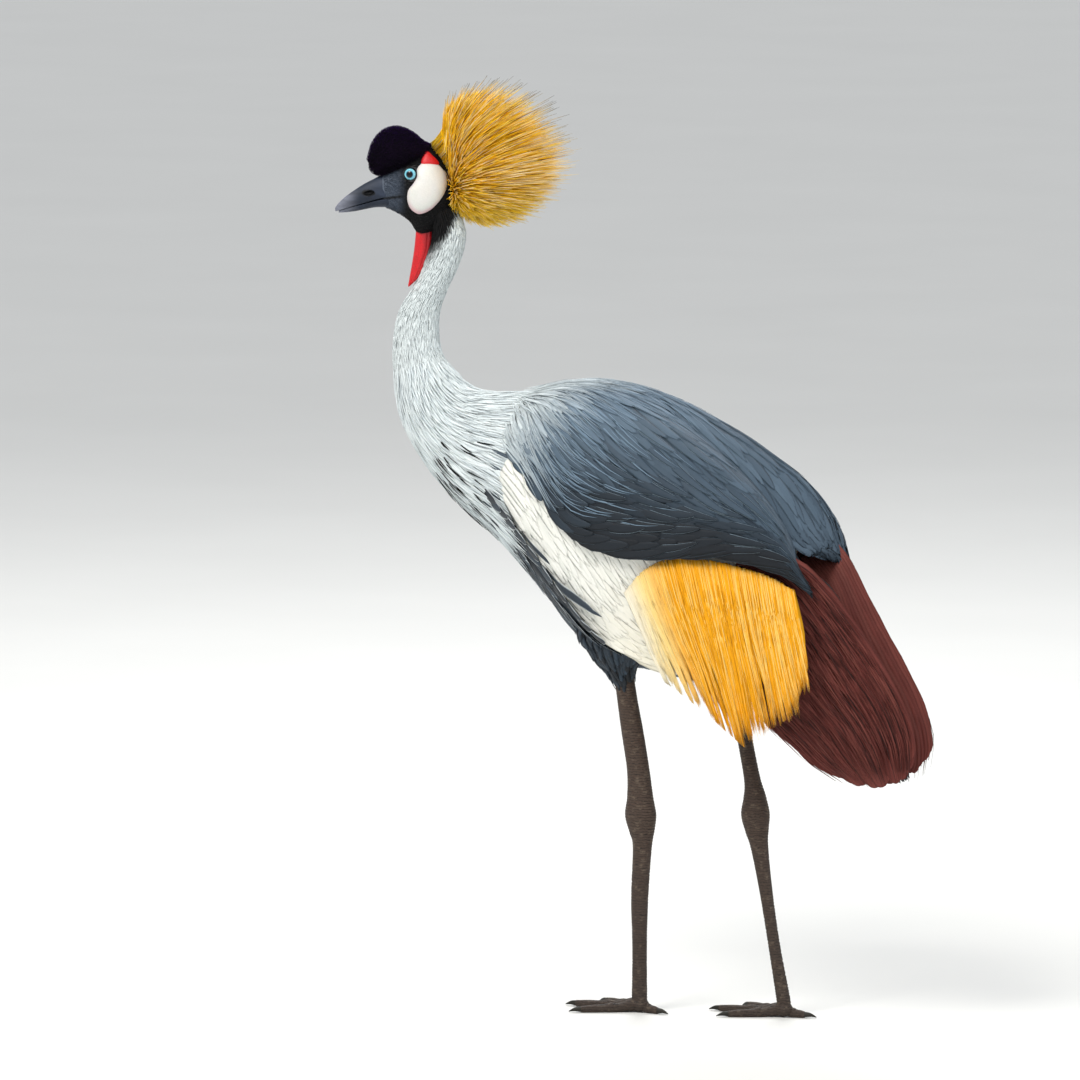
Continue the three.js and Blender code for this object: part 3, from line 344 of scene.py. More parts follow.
# Meshes.
def new_object(name, points, faces, vane=None, patch=None, colour=None):
    mesh = bpy.data.meshes.new(name)
    corners = np.concatenate([f.ravel() for f in faces]).astype(np.int32)
    sizes = np.concatenate([np.full(len(f), f.shape[1]) for f in faces])
    starts = np.concatenate([[0], np.cumsum(sizes)[:-1]]).astype(np.int32)
    mesh.vertices.add(len(points))
    mesh.vertices.foreach_set("co", ((points + DRAWN_SHIFT) * MM).astype(np.float32).ravel())
    mesh.loops.add(len(corners))
    mesh.loops.foreach_set("vertex_index", corners)
    mesh.polygons.add(len(sizes))
    mesh.polygons.foreach_set("loop_start", starts)
    mesh.update(calc_edges=True)
    for layer, values in (("OFBake", patch), ("Vane", vane)):
        if values is not None:
            uv = mesh.uv_layers.new(name=layer)
            uv.data.foreach_set("uv", values[corners].astype(np.float32).ravel())
    if colour is not None:
        paint = mesh.color_attributes.new("Col", "FLOAT_COLOR", "POINT")
        paint.data.foreach_set("color", colour.astype(np.float32).ravel())
    mesh.shade_smooth()
    mesh.validate()
    made = bpy.data.objects.new(name, mesh)
    bpy.context.scene.collection.objects.link(made)
    return made


# Puts a piece on the body, with its material, and hides the CAD nodes it stands for.
def finish_piece(piece, material, slot, *nodes):
    piece.data.materials.clear()
    piece.data.materials.append(material)
    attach(piece, "root")
    if nodes:
        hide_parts(*nodes)
    return piece


# Closed tube through rings of points, shape (rings, sides, 3).
def tube(rings):
    count, sides, _ = rings.shape
    points = rings.reshape(-1, 3)
    index = np.arange(count * sides).reshape(count, sides)
    beside = np.roll(index, -1, axis=1)
    quads = np.stack([index[:-1], beside[:-1], beside[1:], index[1:]], -1).reshape(-1, 4)
    ends = np.stack([rings[0].mean(0), rings[-1].mean(0)])
    first = np.stack([beside[0], index[0], np.full(sides, count * sides)], -1)
    last = np.stack([index[-1], beside[-1], np.full(sides, count * sides + 1)], -1)
    faces = [quads, np.concatenate([first, last])]
    u, v = np.meshgrid(np.arange(sides) / sides, np.arange(count) / (count - 1))
    vane = np.concatenate([np.stack([u, v], -1).reshape(-1, 2), [[0.5, 0], [0.5, 1]]])
    return outwards(np.concatenate([points, ends]), faces), vane


def outwards(points, faces):
    volume = 0
    for f in faces:
        a = points[f[:, 0]]
        for k in range(1, f.shape[1] - 1):
            volume += np.einsum("ij,ij->i", a, np.cross(points[f[:, k]], points[f[:, k + 1]])).sum()
    return points, faces if volume > 0 else [f[:, ::-1] for f in faces]


def paint_points(colour, count):
    return np.concatenate([np.broadcast_to(colour, (count, 3)), np.ones((count, 1))], -1)


def tube_object(name, rings, colour=None):
    (points, faces), vane = tube(rings)
    tint = None if colour is None else paint_points(colour(points), len(points))
    return new_object(name, points, faces, vane=vane, colour=tint)


def rings_of(place, u_values, sides):
    u, v = np.meshgrid(u_values, np.arange(sides) * 2 * math.pi / sides, indexing="ij")
    return place(u, v)


# Cross-sections of a strand, a tuft, a vane with its shaft and a broad blade: across, height.
STRAND = np.array([[-1, 0], [0, 1], [1, 0]], float)
TUFT = np.array([[-1, 0], [0, 1], [1, 0], [0, -0.6]], float)
VANE = np.array([[-1, 0], [-0.45, 0.5], [0, 1], [0.45, 0.5], [1, 0], [0, -0.5]], float)
BLADE = np.array([
    [-1, 0], [-0.7, 0.25], [-0.35, 0.4], [-0.09, 0.5], [0, 1.1], [0.09, 0.5], [0.35, 0.4], [0.7, 0.25],
    [1, 0], [0.6, -0.3], [0, -0.5], [-0.6, -0.3],
], float)


# Many closed feathers in one mesh. Paths and outward directions are (feathers, stations, 3).
def feather_mesh(name, path, out, half, thick, ring, colour, patch, camber=0.0, share=None):
    count, stations, _ = path.shape
    corners = len(ring)
    ahead = unit(np.gradient(path, axis=1))
    out = unit(out - ahead * np.sum(out * ahead, -1, keepdims=True))
    across = np.cross(out, ahead)
    a, h = ring[:, 0], ring[:, 1]
    rise = h * thick[..., None] - camber * half[..., None] * a**2
    sides = across[:, :, None] * (a * half[..., None])[..., None]
    points = path[:, :, None] + sides + out[:, :, None] * rise[..., None]
    index = np.arange(count * stations * corners).reshape(count, stations, corners)
    beside = np.roll(index, -1, axis=2)
    quads = np.stack([index[:, :-1], beside[:, :-1], beside[:, 1:], index[:, 1:]], -1).reshape(-1, 4)
    caps = np.concatenate([index[:, 0, ::-1], index[:, -1]])
    share = np.linspace(0, 1, stations) if share is None else share
    share = np.broadcast_to(share[None, :, None], index.shape)
    length = np.linalg.norm(np.diff(path, axis=1), axis=-1).sum(1)
    sideways = np.broadcast_to(a[None, None], index.shape)
    vane = np.stack([sideways * 0.5 + 0.5, share * length[:, None, None] / 10], -1).reshape(-1, 2)
    spot = patch[:, None, None] + 0.0015 * np.stack([sideways, 2 * share - 1], -1)
    tint = np.concatenate([np.broadcast_to(colour[:, :, None], index.shape + (3,)), share[..., None]], -1)
    points = points.reshape(-1, 3)
    _, faces = outwards(points, [quads, caps])
    return new_object(name, points, faces, vane, spot.reshape(-1, 2), tint.reshape(-1, 4))


# Staggered roots over part of a surface, `pitch` millimetres apart along u and v.
def scatter(surface, u_span, v_span, pitch, rng, jitter=0.4):
    us = np.linspace(*u_span, 101)
    vs = np.linspace(*v_span, 81)
    points = surface.place(*np.meshgrid(us, vs, indexing="ij"))
    down = np.linalg.norm(np.diff(points, axis=0), axis=-1).mean(1)
    reach = np.concatenate([[0], np.cumsum(down)])
    gaps = np.linalg.norm(np.diff(points, axis=1), axis=-1)
    along_v = np.concatenate([np.zeros((len(us), 1)), np.cumsum(gaps, 1)], 1)
    roots = []
    for i, distance in enumerate(np.arange(pitch[0] / 2, reach[-1], pitch[0])):
        u = np.interp(distance, reach, us)
        line = np.array([np.interp(u, us, along_v[:, k]) for k in range(len(vs))])
        number = max(1, int(round(line[-1] / pitch[1])))
        place = (np.arange(number) + 0.25 + 0.5 * (i % 2)) / number * line[-1]
        place = place + rng.uniform(-jitter, jitter, number) * pitch[1]
        shift = rng.uniform(-jitter, jitter, number) * pitch[0]
        roots.append(np.stack([np.interp(distance + shift, reach, us), np.interp(place, line, vs)], -1))
    roots = np.concatenate(roots)
    return roots[:, 0], roots[:, 1]


# Shares of a feather's length, closer together towards its tip.
def shares(stations):
    return 1 - (1 - np.linspace(0, 1, stations)) ** 1.6


# Walks from roots over a surface: heading is the angle from +u towards +v, length is real.
def walk(surface, u, v, heading, length, share, bend=0.0):
    us, vs = [u], [v]
    for before, after in zip(share, share[1:]):
        pu, pv = surface.tangents(u, v)
        turn = heading + bend * before
        step = length * (after - before)
        u = u + step * np.cos(turn) / np.maximum(np.linalg.norm(pu, axis=-1), 1)
        v = v + step * np.sin(turn) / np.maximum(np.linalg.norm(pv, axis=-1), 1)
        us.append(u)
        vs.append(v)
    return np.stack(us, 1), np.stack(vs, 1)


# Width along a feather: narrow at its base, full up to the shoulder, then a round or slim tip.
def outline(share, base, shoulder, roundness):
    tip = np.clip((share - shoulder) / (1 - shoulder), 0, 1)
    full = mix(base, 1, smoothstep(0, 0.35, share))
    return np.maximum(full * (1 - tip**roundness) ** (1 / roundness), 0.05)


# Feathers on a surface: root and tip depth out of it, width shape along the length.
def grow(name, surface, roots, heading, length, width, thickness, shape, ring, colour, depth,
         stations=5, bend=0.0, camber=0.0, roll=0.0, rng=None):
    u, v = roots
    share = shares(stations)
    paths_u, paths_v = walk(surface, u, v, heading, length, share, bend)
    path = surface.place(paths_u, paths_v)
    out = surface.normal(paths_u, paths_v)
    sink, lift = depth
    rise = 1 - (1 - share) ** 2
    path = path + out * (sink + (np.reshape(lift, (-1, 1)) - sink) * rise)[..., None]
    if roll:
        tip = np.cross(out, unit(np.gradient(path, axis=1)))
        out = unit(out + tip * (rng.uniform(-roll, roll, len(u))[:, None, None]))
    half = np.reshape(width, (-1, 1)) / 2 * outline(share, *shape)
    half = np.broadcast_to(half, (len(u), stations))
    thick = np.broadcast_to(thickness * (1 - 0.6 * share), half.shape)
    return feather_mesh(name, path, out, half, thick, ring, colour(u, v, share), surface.unwrap(u, v), camber,
                        share)


# Materials.
class Shader:
    def __init__(self, name, roughness, **sockets):
        self.material = bpy.data.materials.new(name)
        self.material.use_nodes = True
        self.tree = self.material.node_tree
        self.tree.nodes.clear()
        self.bsdf = self.tree.nodes.new("ShaderNodeBsdfPrincipled")
        output = self.tree.nodes.new("ShaderNodeOutputMaterial")
        self.link(self.bsdf.outputs[0], output.inputs["Surface"])
        self.bsdf.inputs["Roughness"].default_value = roughness
        for socket, value in sockets.items():
            self.bsdf.inputs[socket.replace("_", " ")].default_value = value

    def link(self, a, b):
        self.tree.links.new(a, b)

    def put(self, socket, value):
        if isinstance(value, bpy.types.NodeSocket):
            self.link(value, socket)
        elif np.ndim(value):
            socket.default_value = (*value, 1) if len(socket.default_value) == 4 else tuple(value)
        else:
            socket.default_value = value

    def paint(self):
        node = self.tree.nodes.new("ShaderNodeAttribute")
        node.attribute_name = "Col"
        return node.outputs["Color"], node.outputs["Alpha"]

    def vane(self):
        node = self.tree.nodes.new("ShaderNodeUVMap")
        node.uv_map = "Vane"
        split = self.tree.nodes.new("ShaderNodeSeparateXYZ")
        self.link(node.outputs[0], split.inputs[0])
        return split.outputs[0], split.outputs[1]

    def point(self):
        return self.tree.nodes.new("ShaderNodeTexCoord").outputs["Object"]

    def math(self, operation, a, b=0.0, clamp=False):
        node = self.tree.nodes.new("ShaderNodeMath")
        node.operation = operation
        node.use_clamp = clamp
        self.put(node.inputs[0], a)
        self.put(node.inputs[1], b)
        return node.outputs[0]

    def vector(self, x, y, z=0.0):
        node = self.tree.nodes.new("ShaderNodeCombineXYZ")
        for socket, value in zip(node.inputs, (x, y, z)):
            self.put(socket, value)
        return node.outputs[0]

    def noise(self, vector, scale, detail=2.0, stretch=None):
        if stretch is not None:
            mapping = self.tree.nodes.new("ShaderNodeMapping")
            self.link(vector, mapping.inputs[0])
            mapping.inputs["Scale"].default_value = stretch
            vector = mapping.outputs[0]
        node = self.tree.nodes.new("ShaderNodeTexNoise")
        self.link(vector, node.inputs["Vector"])
        node.inputs["Scale"].default_value = scale
        node.inputs["Detail"].default_value = detail
        return node.outputs["Fac"]

    def cells(self, vector, scale, feature="F1"):
        node = self.tree.nodes.new("ShaderNodeTexVoronoi")
        node.feature = feature
        self.link(vector, node.inputs["Vector"])
        node.inputs["Scale"].default_value = scale
        return node.outputs["Distance"]

    def span(self, value, low, high, to_low=0.0, to_high=1.0):
        node = self.tree.nodes.new("ShaderNodeMapRange")
        node.interpolation_type = "SMOOTHSTEP"
        for socket, number in zip(node.inputs, (value, low, high, to_low, to_high)):
            self.put(socket, number)
        return node.outputs[0]

    def mix(self, a, b, share, blend="MIX"):
        node = self.tree.nodes.new("ShaderNodeMix")
        node.data_type = "RGBA"
        node.blend_type = blend
        self.put(node.inputs["Factor"], share)
        self.put(node.inputs[6], a)
        self.put(node.inputs[7], b)
        return node.outputs[2]

    def bump(self, height, distance, strength=1.0):
        node = self.tree.nodes.new("ShaderNodeBump")
        node.inputs["Distance"].default_value = distance
        node.inputs["Strength"].default_value = strength
        self.link(height, node.inputs["Height"])
        self.link(node.outputs[0], self.bsdf.inputs["Normal"])

    def finish(self, colour):
        self.link(colour, self.bsdf.inputs["Base Color"])
        return self.material


# Feather: barbs slant away from the shaft, with a paler rim and shaft where the bird has them.
def feather_material(name, roughness=0.7, contrast=0.25, barbs=26.0, rim=None, rim_from=0.7, rim_share=0.5,
                     shaft=None, bump=0.00025, **sockets):
    s = Shader(name, roughness, **sockets)
    colour, share = s.paint()
    across, length = s.vane()
    edge = s.math("ABSOLUTE", s.math("SUBTRACT", s.math("MULTIPLY", across, 2.0), 1.0))
    slant = s.math("SUBTRACT", length, s.math("MULTIPLY", edge, 0.5))
    barb = s.noise(s.vector(s.math("MULTIPLY", across, 0.8), slant), barbs, 2.0)
    cloud = s.noise(s.point(), 55.0, 3.0)
    tone = s.span(s.math("ADD", s.math("MULTIPLY", barb, 0.65), s.math("MULTIPLY", cloud, 0.35)), 0.3, 0.7,
                  1 - contrast, 1 + contrast)
    painted = s.mix(colour, s.vector(tone, tone, tone), 1.0, "MULTIPLY")
    if rim is not None:
        border = s.span(edge, rim_from, 0.98)
        border = s.math("MULTIPLY", border, s.span(share, 0.1, 0.5, 0.0, rim_share))
        painted = s.mix(painted, rim, border)
    if shaft is not None:
        painted = s.mix(painted, shaft, s.span(edge, 0.0, 0.1, 0.7, 0.0))
    s.bump(barb, bump, 0.6)
    return s.finish(painted)


def skin_material(name, roughness, scale, contrast=0.15, bump=0.0003, **sockets):
    s = Shader(name, roughness, **sockets)
    colour, _ = s.paint()
    grain = s.cells(s.point(), scale)
    cloud = s.noise(s.point(), scale / 8, 3.0)
    tone = s.span(s.math("ADD", s.math("MULTIPLY", grain, 0.5), s.math("MULTIPLY", cloud, 0.5)), 0.1, 0.8,
                  1 - contrast, 1 + contrast)
    s.bump(grain, bump, 0.5)
    return s.finish(s.mix(colour, s.vector(tone, tone, tone), 1.0, "MULTIPLY"))


def horn_material(name, roughness=0.52):
    s = Shader(name, roughness, Specular_IOR_Level=0.22)
    colour, _ = s.paint()
    streak = s.noise(s.point(), 90.0, 4.0, (0.35, 1.0, 1.4))
    speck = s.noise(s.point(), 900.0, 2.0)
    tone = s.span(streak, 0.3, 0.7, 0.75, 1.25)
    s.bump(s.math("ADD", streak, s.math("MULTIPLY", speck, 0.2)), 0.0002, 0.4)
    return s.finish(s.mix(colour, s.vector(tone, tone, tone), 1.0, "MULTIPLY"))


# Height of one ring scute of the leg.
SCUTE = 3.1


def leg_material(name):
    s = Shader(name, 0.6, Specular_IOR_Level=0.3)
    colour, _ = s.paint()
    split = s.tree.nodes.new("ShaderNodeSeparateXYZ")
    s.link(s.point(), split.inputs[0])
    grime = s.noise(s.point(), 160.0, 3.0)
    height = s.math("MULTIPLY", split.outputs[2], math.pi / (SCUTE * MM))
    turns = s.math("ADD", height, s.math("MULTIPLY", grime, 7.0))
    ring = s.span(s.math("ABSOLUTE", s.math("SINE", turns)), 0.05, 0.5)
    scale_edge = s.span(s.cells(s.point(), 300.0, "DISTANCE_TO_EDGE"), 0.0, 0.1)
    plate = s.math("MULTIPLY", ring, s.span(scale_edge, 0.0, 1.0, 0.6, 1.0))
    tone = s.span(plate, 0.0, 1.0, 0.42, 1.3)
    mud = s.mix(colour, ink("6f6152"), s.span(grime, 0.5, 0.75, 0.0, 0.35))
    s.bump(plate, 0.0005, 0.7)
    return s.finish(s.mix(mud, s.vector(tone, tone, tone), 1.0, "MULTIPLY"))


def eye_material():
    s = Shader("eyeball", 0.12, Coat_Weight=0.15, Coat_Roughness=0.03, Specular_IOR_Level=0.35)
    radius, turn = s.vane()
    fibre = s.noise(s.vector(s.math("MULTIPLY", radius, 2.0), s.math("MULTIPLY", turn, 9.0)), 6.0, 3.0)
    iris = s.mix(ink("3fa2bd"), ink("a5e2ea"), s.span(fibre, 0.3, 0.7))
    iris = s.mix(iris, ink("1c6f90"), s.span(radius, PUPIL + 0.02, PUPIL + 0.14, 0.8, 0.0))
    iris = s.mix(iris, ink("0a1216"), s.span(radius, IRIS - 0.06, IRIS))
    return s.finish(s.mix(ink("020203"), iris, s.span(radius, PUPIL - 0.015, PUPIL + 0.015)))


# Region colours.
FACE_BLACK = ink("040406")
LORE_GREY = ink("414a58")
NECK_PALE = ink("d7dfe0")
NECK_SHADE = ink("bfc9cd")
BREAST_DARK = ink("151c24")
BREAST_PALE = ink("cfd8dc")
SLATE = ink("2b3b49")
SLATE_DARK = ink("0b1118")
SLATE_PALE = ink("6f8496")
WING_WHITE = ink("ebebe4")
CREAM = ink("fbe39a")
GOLD = ink("f5ac12")
GOLD_PALE = ink("fbd274")
GOLD_DEEP = ink("d28c12")
CHESTNUT = ink("5e2620")
CHESTNUT_PALE = ink("95554a")
CHESTNUT_DARK = ink("260a07")
BLACK_FEATHER = ink("060709")
RED = ink("bb0612")
RED_DEEP = ink("7a0410")
BILL_DARK = ink("15181e")
BILL_PALE = ink("9093a1")
LEG_BROWN = ink("3d3028")
LEG_DARK = ink("2b241f")
PUPIL = 0.38
IRIS = 0.76

# Where the black throat gives way to the pale neck: x and height in the head's frame.
THROAT_EDGE = np.array([[-10, -47], [3, -30], [12, -6], [17, 12], [22, 34]], float)


# How black the neck is, from 1 at the throat to 0 where the pale neck starts.
def throat_black(points):
    head = to_head(points)
    return smoothstep(-13, 11, head[..., 2] - np.interp(head[..., 0], *THROAT_EDGE.T))


def neck_colour(points):
    return mix(NECK_PALE, FACE_BLACK, throat_black(points)[..., None])


# Lower edge of the back feathers: x, z.
CAPE_EDGE = np.array([[-125, 640], [-118, 612], [-76, 590], [-24, 530], [38, 516], [147, 518], [228, 488]])


# What shows between the feathers: pale neck, dark breast, slate back and white wing.
def body_colour(points):
    x, y, z = np.moveaxis(points, -1, 0)
    rear = smoothstep(-130, -110, x)
    low = smoothstep(-20, 15, -z + 590 - 0.55 * (x + 200))
    colour = mix(neck_colour(points), BREAST_DARK, np.maximum(rear, low)[..., None])
    wing = rear * smoothstep(55, 65, np.abs(y)) * smoothstep(3, -3, z - np.interp(x, *CAPE_EDGE.T))
    return mix(colour, WING_WHITE, wing[..., None])


# Skin: neck, torso, thighs and the arms under the feathers in one closed mesh, then the head.
def closed_pad(surface, depth, core_y, share, rows=36, columns=20):
    (u0, u1), (v0, v1) = surface.patch
    u, v = np.meshgrid(np.linspace(u0, u1, rows), np.linspace(v0, v1, columns), indexing="ij")
    outer = surface.place(u, v) - surface.normal(u, v) * depth
    low, high = outer[:, -1], outer[:, 0]
    core = (low + high) / 2
    core[:, 1] = core_y
    inner = mix(outer, core[:, None], share)
    return np.concatenate([outer, inner[:, ::-1]], 1)


def join(objects):
    for piece in bpy.context.selected_objects:
        piece.select_set(False)
    for piece in objects:
        piece.select_set(True)
    bpy.context.view_layer.objects.active = objects[0]
    bpy.ops.object.join()
    return objects[0]


def apply_modifiers(piece):
    view = bpy.context.evaluated_depsgraph_get()
    mesh = bpy.data.meshes.new_from_object(piece.evaluated_get(view))
    piece.modifiers.clear()
    piece.data = mesh
    return piece


def boolean(piece, tools, operation="UNION"):
    for tool in tools:
        modifier = piece.modifiers.new(operation, "BOOLEAN")
        modifier.operation = operation
        modifier.solver = "MANIFOLD"
        modifier.object = tool
    apply_modifiers(piece)
    for tool in tools:
        bpy.data.objects.remove(tool)
    piece.data.shade_smooth()
    return piece


def fused(name, pieces, voxel, smoothing):
    piece = join(pieces)
    piece.name = name
    remesh = piece.modifiers.new("fuse", "REMESH")
    remesh.mode = "VOXEL"
    remesh.voxel_size = voxel
    smooth = piece.modifiers.new("smooth", "SMOOTH")
    smooth.iterations = smoothing
    return apply_modifiers(piece)


def points_of(piece):
    values = np.empty(len(piece.data.vertices) * 3, np.float32)
    piece.data.vertices.foreach_get("co", values)
    return values.reshape(-1, 3) / MM - DRAWN_SHIFT


def paint_piece(piece, colour):
    if "Col" in piece.data.color_attributes:
        piece.data.color_attributes.remove(piece.data.color_attributes["Col"])
    points = points_of(piece)
    paint = piece.data.color_attributes.new("Col", "FLOAT_COLOR", "POINT")
    paint.data.foreach_set("color", paint_points(colour(points), len(points)).astype(np.float32).ravel())


def mirrored(point, side):
    return point * [1, side, 1]


# Angle from the pole and turn around it for rings of a ball.
def ball_angles(tall, wide, pole=0.02):
    angle = np.linspace(pole, math.pi - pole, tall)
    turn = np.arange(wide) * 2 * math.pi / wide
    return np.meshgrid(angle, turn, indexing="ij")


def ellipsoid(radii, wide, tall):
    a, t = ball_angles(tall, wide)
    return np.stack([np.sin(a) * np.cos(t), np.sin(a) * np.sin(t), np.cos(a)], -1) * radii


# An ellipsoid in the head's frame, tipped about Y.
def head_ball(name, centre, radii, tilt=0.0, wide=48, tall=32):
    local = ellipsoid(radii, wide, tall)
    tip = math.radians(tilt)
    x = local[..., 0] * math.cos(tip) + local[..., 2] * math.sin(tip)
    z = -local[..., 0] * math.sin(tip) + local[..., 2] * math.cos(tip)
    rings = from_head(np.stack([x, local[..., 1], z], -1) + centre)
    return tube_object(name, rings)


# The face: black, with slate lores in front of the eye and a black line of painted shade on from the mouth's
# crease.
def face_colour(points):
    head = to_head(points)
    x, _, z = np.moveaxis(head, -1, 0)
    lore = smoothstep(-37, -50, x) * smoothstep(47, 36, z) * smoothstep(-14, 2, z)
    # Painted shade: the mouth's crease runs on into the lore as a dark line.
    gape_shade = np.exp(-((z - np.interp(x, [-64, -43], [9.0, 12.7])) / 1.5) ** 2) * smoothstep(-41, -46, x)
    return mix(FACE_BLACK, LORE_GREY, (lore * (1 - gape_shade))[..., None])


def skin_colour(points):
    on_head = smoothstep(840, 850, points[..., 2])[..., None]
    body = body_colour(points)
    return mix(body, mix(body, face_colour(points), throat_black(points)[..., None]), on_head)


def make_skin():
    pieces = [tube_object("skin", rings_of(oval_place(BODY, SKIN_DEPTH), np.linspace(0, 18, 150), 72))]
    for word, side in SIDES:
        cape = grid_surface(CAPE[:-1], side, 80)
        wing = grid_surface(WING, side, 0)
        pieces.append(tube_object("cape_pad_" + word, closed_pad(cape, 4.5, 30 * side, 0.4)))
        pieces.append(tube_object("wing_pad_" + word, closed_pad(wing, 4, 36 * side, 0.5)))
        thigh = limb_surface(THIGHS[word] - [0, 0, 0, 3, 3])
        pieces.append(tube_object("thigh_pad_" + word, rings_of(thigh.place, np.linspace(0, 4, 40), 40)))
    skin = fused("skin", pieces, SKIN_VOXEL, 6)
    bone = oval_place(SKULL, SKULL_ROOTS, head=True)
    skull = tube_object("skull", rings_of(bone, np.linspace(0, 7, 110), 96))
    lids = [head_ball("lid", mirrored(LID, side), LID_RADII) for _, side in SIDES]
    boolean(skin, [skull, *lids])
    sockets = [head_ball("socket", mirrored(EYE, side), [EYE_RADIUS + SOCKET_GAP] * 3) for _, side in SIDES]
    boolean(skin, sockets, "DIFFERENCE")
    paint_piece(skin, skin_colour)
    nodes = ("neck_upper", "neck_lower", "torso", "thigh_left", "thigh_right", "head")
    finish_piece(skin, skin_material("skin", 0.65, 420.0), "breast_grey", *nodes)


# Feather shapes: share of the width at the base, where the tip starts and how round it is.
LANCE = (0.4, 0.25, 1.5)
ROUND = (0.5, 0.6, 2.0)
POINTED = (0.5, 0.35, 1.8)
TAPER = (0.7, 0.1, 1.4)


def varied(colour, rng, count, amount):
    return colour * (1 + rng.uniform(-amount, amount, (count, 1, 1)))


# Small feathers of the neck, from the throat to the hackles.
def make_neck():
    rng = seeded(11)
    body = oval_surface(BODY, BODY_ROOTS)
    u, v = scatter(body, (0.1, 7.2), (-math.pi, math.pi), (3.4, 1.9), rng)
    count = len(u)

    def colour(u, v, share):
        points = body.place(u, v)[:, None] + np.zeros((1, len(share), 1))
        base = neck_colour(points)
        shade = mix(0.9, 1.0, smoothstep(0, 0.5, share))[None, :, None]
        return varied(base * shade, rng, len(u), 0.05)

    length = np.interp(u, [0, 4, 7], [12, 18, 30]) * rng.uniform(0.85, 1.2, count)
    width = np.interp(u, [0, 4, 7], [2.6, 3.2, 4.4])
    heading = rng.normal(0, 0.05, count)
    lift = rng.uniform(2.0, 2.5, count)
    piece = grow("neck_feathers", body, (u, v), heading, length, width, 0.35, TAPER, STRAND, colour,
                 (0.6, lift), stations=4)
    finish_piece(piece, feather_material("neck_down", 0.85, 0.06, Specular_IOR_Level=0.25), "pale_neck")


# Lance-shaped feathers of the lower neck, their tips free over the breast.
def make_hackles():
    rng = seeded(12)
    body = oval_surface(BODY, BODY_ROOTS)
    u, v = scatter(body, (5.6, 9.6), (-math.pi, math.pi), (5.0, 3.0), rng)
    front = smoothstep(1.2, 2.2, np.abs(v))
    count = len(u)

    def colour(u, v, share):
        base = mix(NECK_PALE, NECK_SHADE, rng.random((len(u), 1, 1)) ** 2)
        low = (smoothstep(8.0, 9.4, u) * front)[:, None, None] * smoothstep(0.2, 0, share)[None, :, None]
        # Painted shade: each hackle is darker towards its root, under the feathers over it.
        tint = base * mix(0.82, 1.04, smoothstep(0, 0.4, share))[None, :, None]
        return varied(mix(tint, BREAST_DARK, low), rng, len(u), 0.05)

    length = np.interp(u, [5.6, 8, 9.6], [36, 74, 92]) * mix(0.7, 1.0, front) * rng.uniform(0.75, 1.12, count)
    width = np.interp(u, [5.6, 8, 9.6], [3.2, 3.8, 4.4]) * rng.uniform(0.75, 1.25, count)
    heading = rng.normal(0, 0.05, count) - 0.07 * np.sign(v) * front
    lift = rng.uniform(3.0, 4.8, count)
    piece = grow("hackles", body, (u, v), heading, length, width, 0.5, LANCE, TUFT, colour, (0.2, lift),
                 stations=7, camber=0.12, roll=0.15, rng=rng)
    material = feather_material("hackle", 0.75, 0.08, rim=ink("f4f7f8"), rim_share=0.4)
    finish_piece(piece, material, "pale_neck")
    make_dark_slits(body, rng)


# Slim black feathers that show as slits between the ends of the hackles.
SLITS = 100


def make_dark_slits(body, rng):
    count = SLITS
    u = 9.5 - 1.3 * rng.random(count) ** 1.4
    v = rng.choice([-1, 1], count) * rng.uniform(1.2, 2.8, count)

    def colour(u, v, share):
        return np.broadcast_to(BLACK_FEATHER, (len(u), len(share), 3))
    piece = grow("neck_slits", body, (u, v), rng.normal(0, 0.05, count), rng.uniform(16, 40, count),
                 rng.uniform(1.2, 2.8, count), 0.5, TAPER, TUFT, colour, (3.4, rng.uniform(5.0, 5.8, count)),
                 stations=6)
    finish_piece(piece, feather_material("neck_slits", 0.8, 0.1, Specular_IOR_Level=0.2), "black_feathers")


# Dark breast and belly feathers with pale curved rims.
def make_breast():
    rng = seeded(13)
    body = oval_surface(BODY, BODY_ROOTS)
    u, v = scatter(body, (9.2, 18), (0.9, 2 * math.pi - 0.9), (13, 8.5), rng)
    count = len(u)

    def colour(u, v, share):
        banded = smoothstep(13.4, 11.5, u)[:, None, None]
        base = mix(SLATE, BREAST_DARK, banded)
        pale = mix(base, SLATE_PALE, 0.25 * rng.random((len(u), 1, 1)))
        # Painted shade: each feather is darker towards its root, under the one above it.
        return varied(pale * mix(0.5, 1.1, smoothstep(0.1, 0.8, share))[None, :, None], rng, len(u), 0.15)

    length = np.interp(u, [9.2, 11, 14, 18], [50, 56, 44, 28]) * rng.uniform(0.85, 1.15, count)
    width = np.interp(u, [9.2, 11, 14, 18], [12, 15, 15, 12]) * rng.uniform(0.85, 1.1, count)
    lift = rng.uniform(2.5, 4.6, count)
    piece = grow("breast_feathers", body, (u, v), rng.normal(0, 0.08, count), length, width, 0.7, POINTED,
                 VANE, colour, (-1.0, lift), stations=6, camber=0.22, roll=0.1, rng=rng)
    material = feather_material("breast", 0.65, 0.15, rim=BREAST_PALE, rim_from=0.68, rim_share=1.0)
    finish_piece(piece, material, "breast_grey")
    make_flank_feathers(material, rng)


# Dark flank feathers that curve from the breast over the edge of the white wing.
FLANK_ROWS = 8
FLANK_BODY = (9.4, 13.6)
FLANK_WING = (0.0, 4.1)
# Rows of roots along u, then the v, heading, length and width of each; the last two are slim ones.
FLANK_FEATHERS = (
    (np.arange(-0.6, 6.2, 0.5), 0.9, 0.75, 44, 20),
    (np.arange(-0.9, 5.6, 0.62), 1.62, 0.8, 38, 19),
    ([2.0], 2.0, 0.3, 60, 6),
    ([2.9], 1.8, 0.45, 112, 10),
)


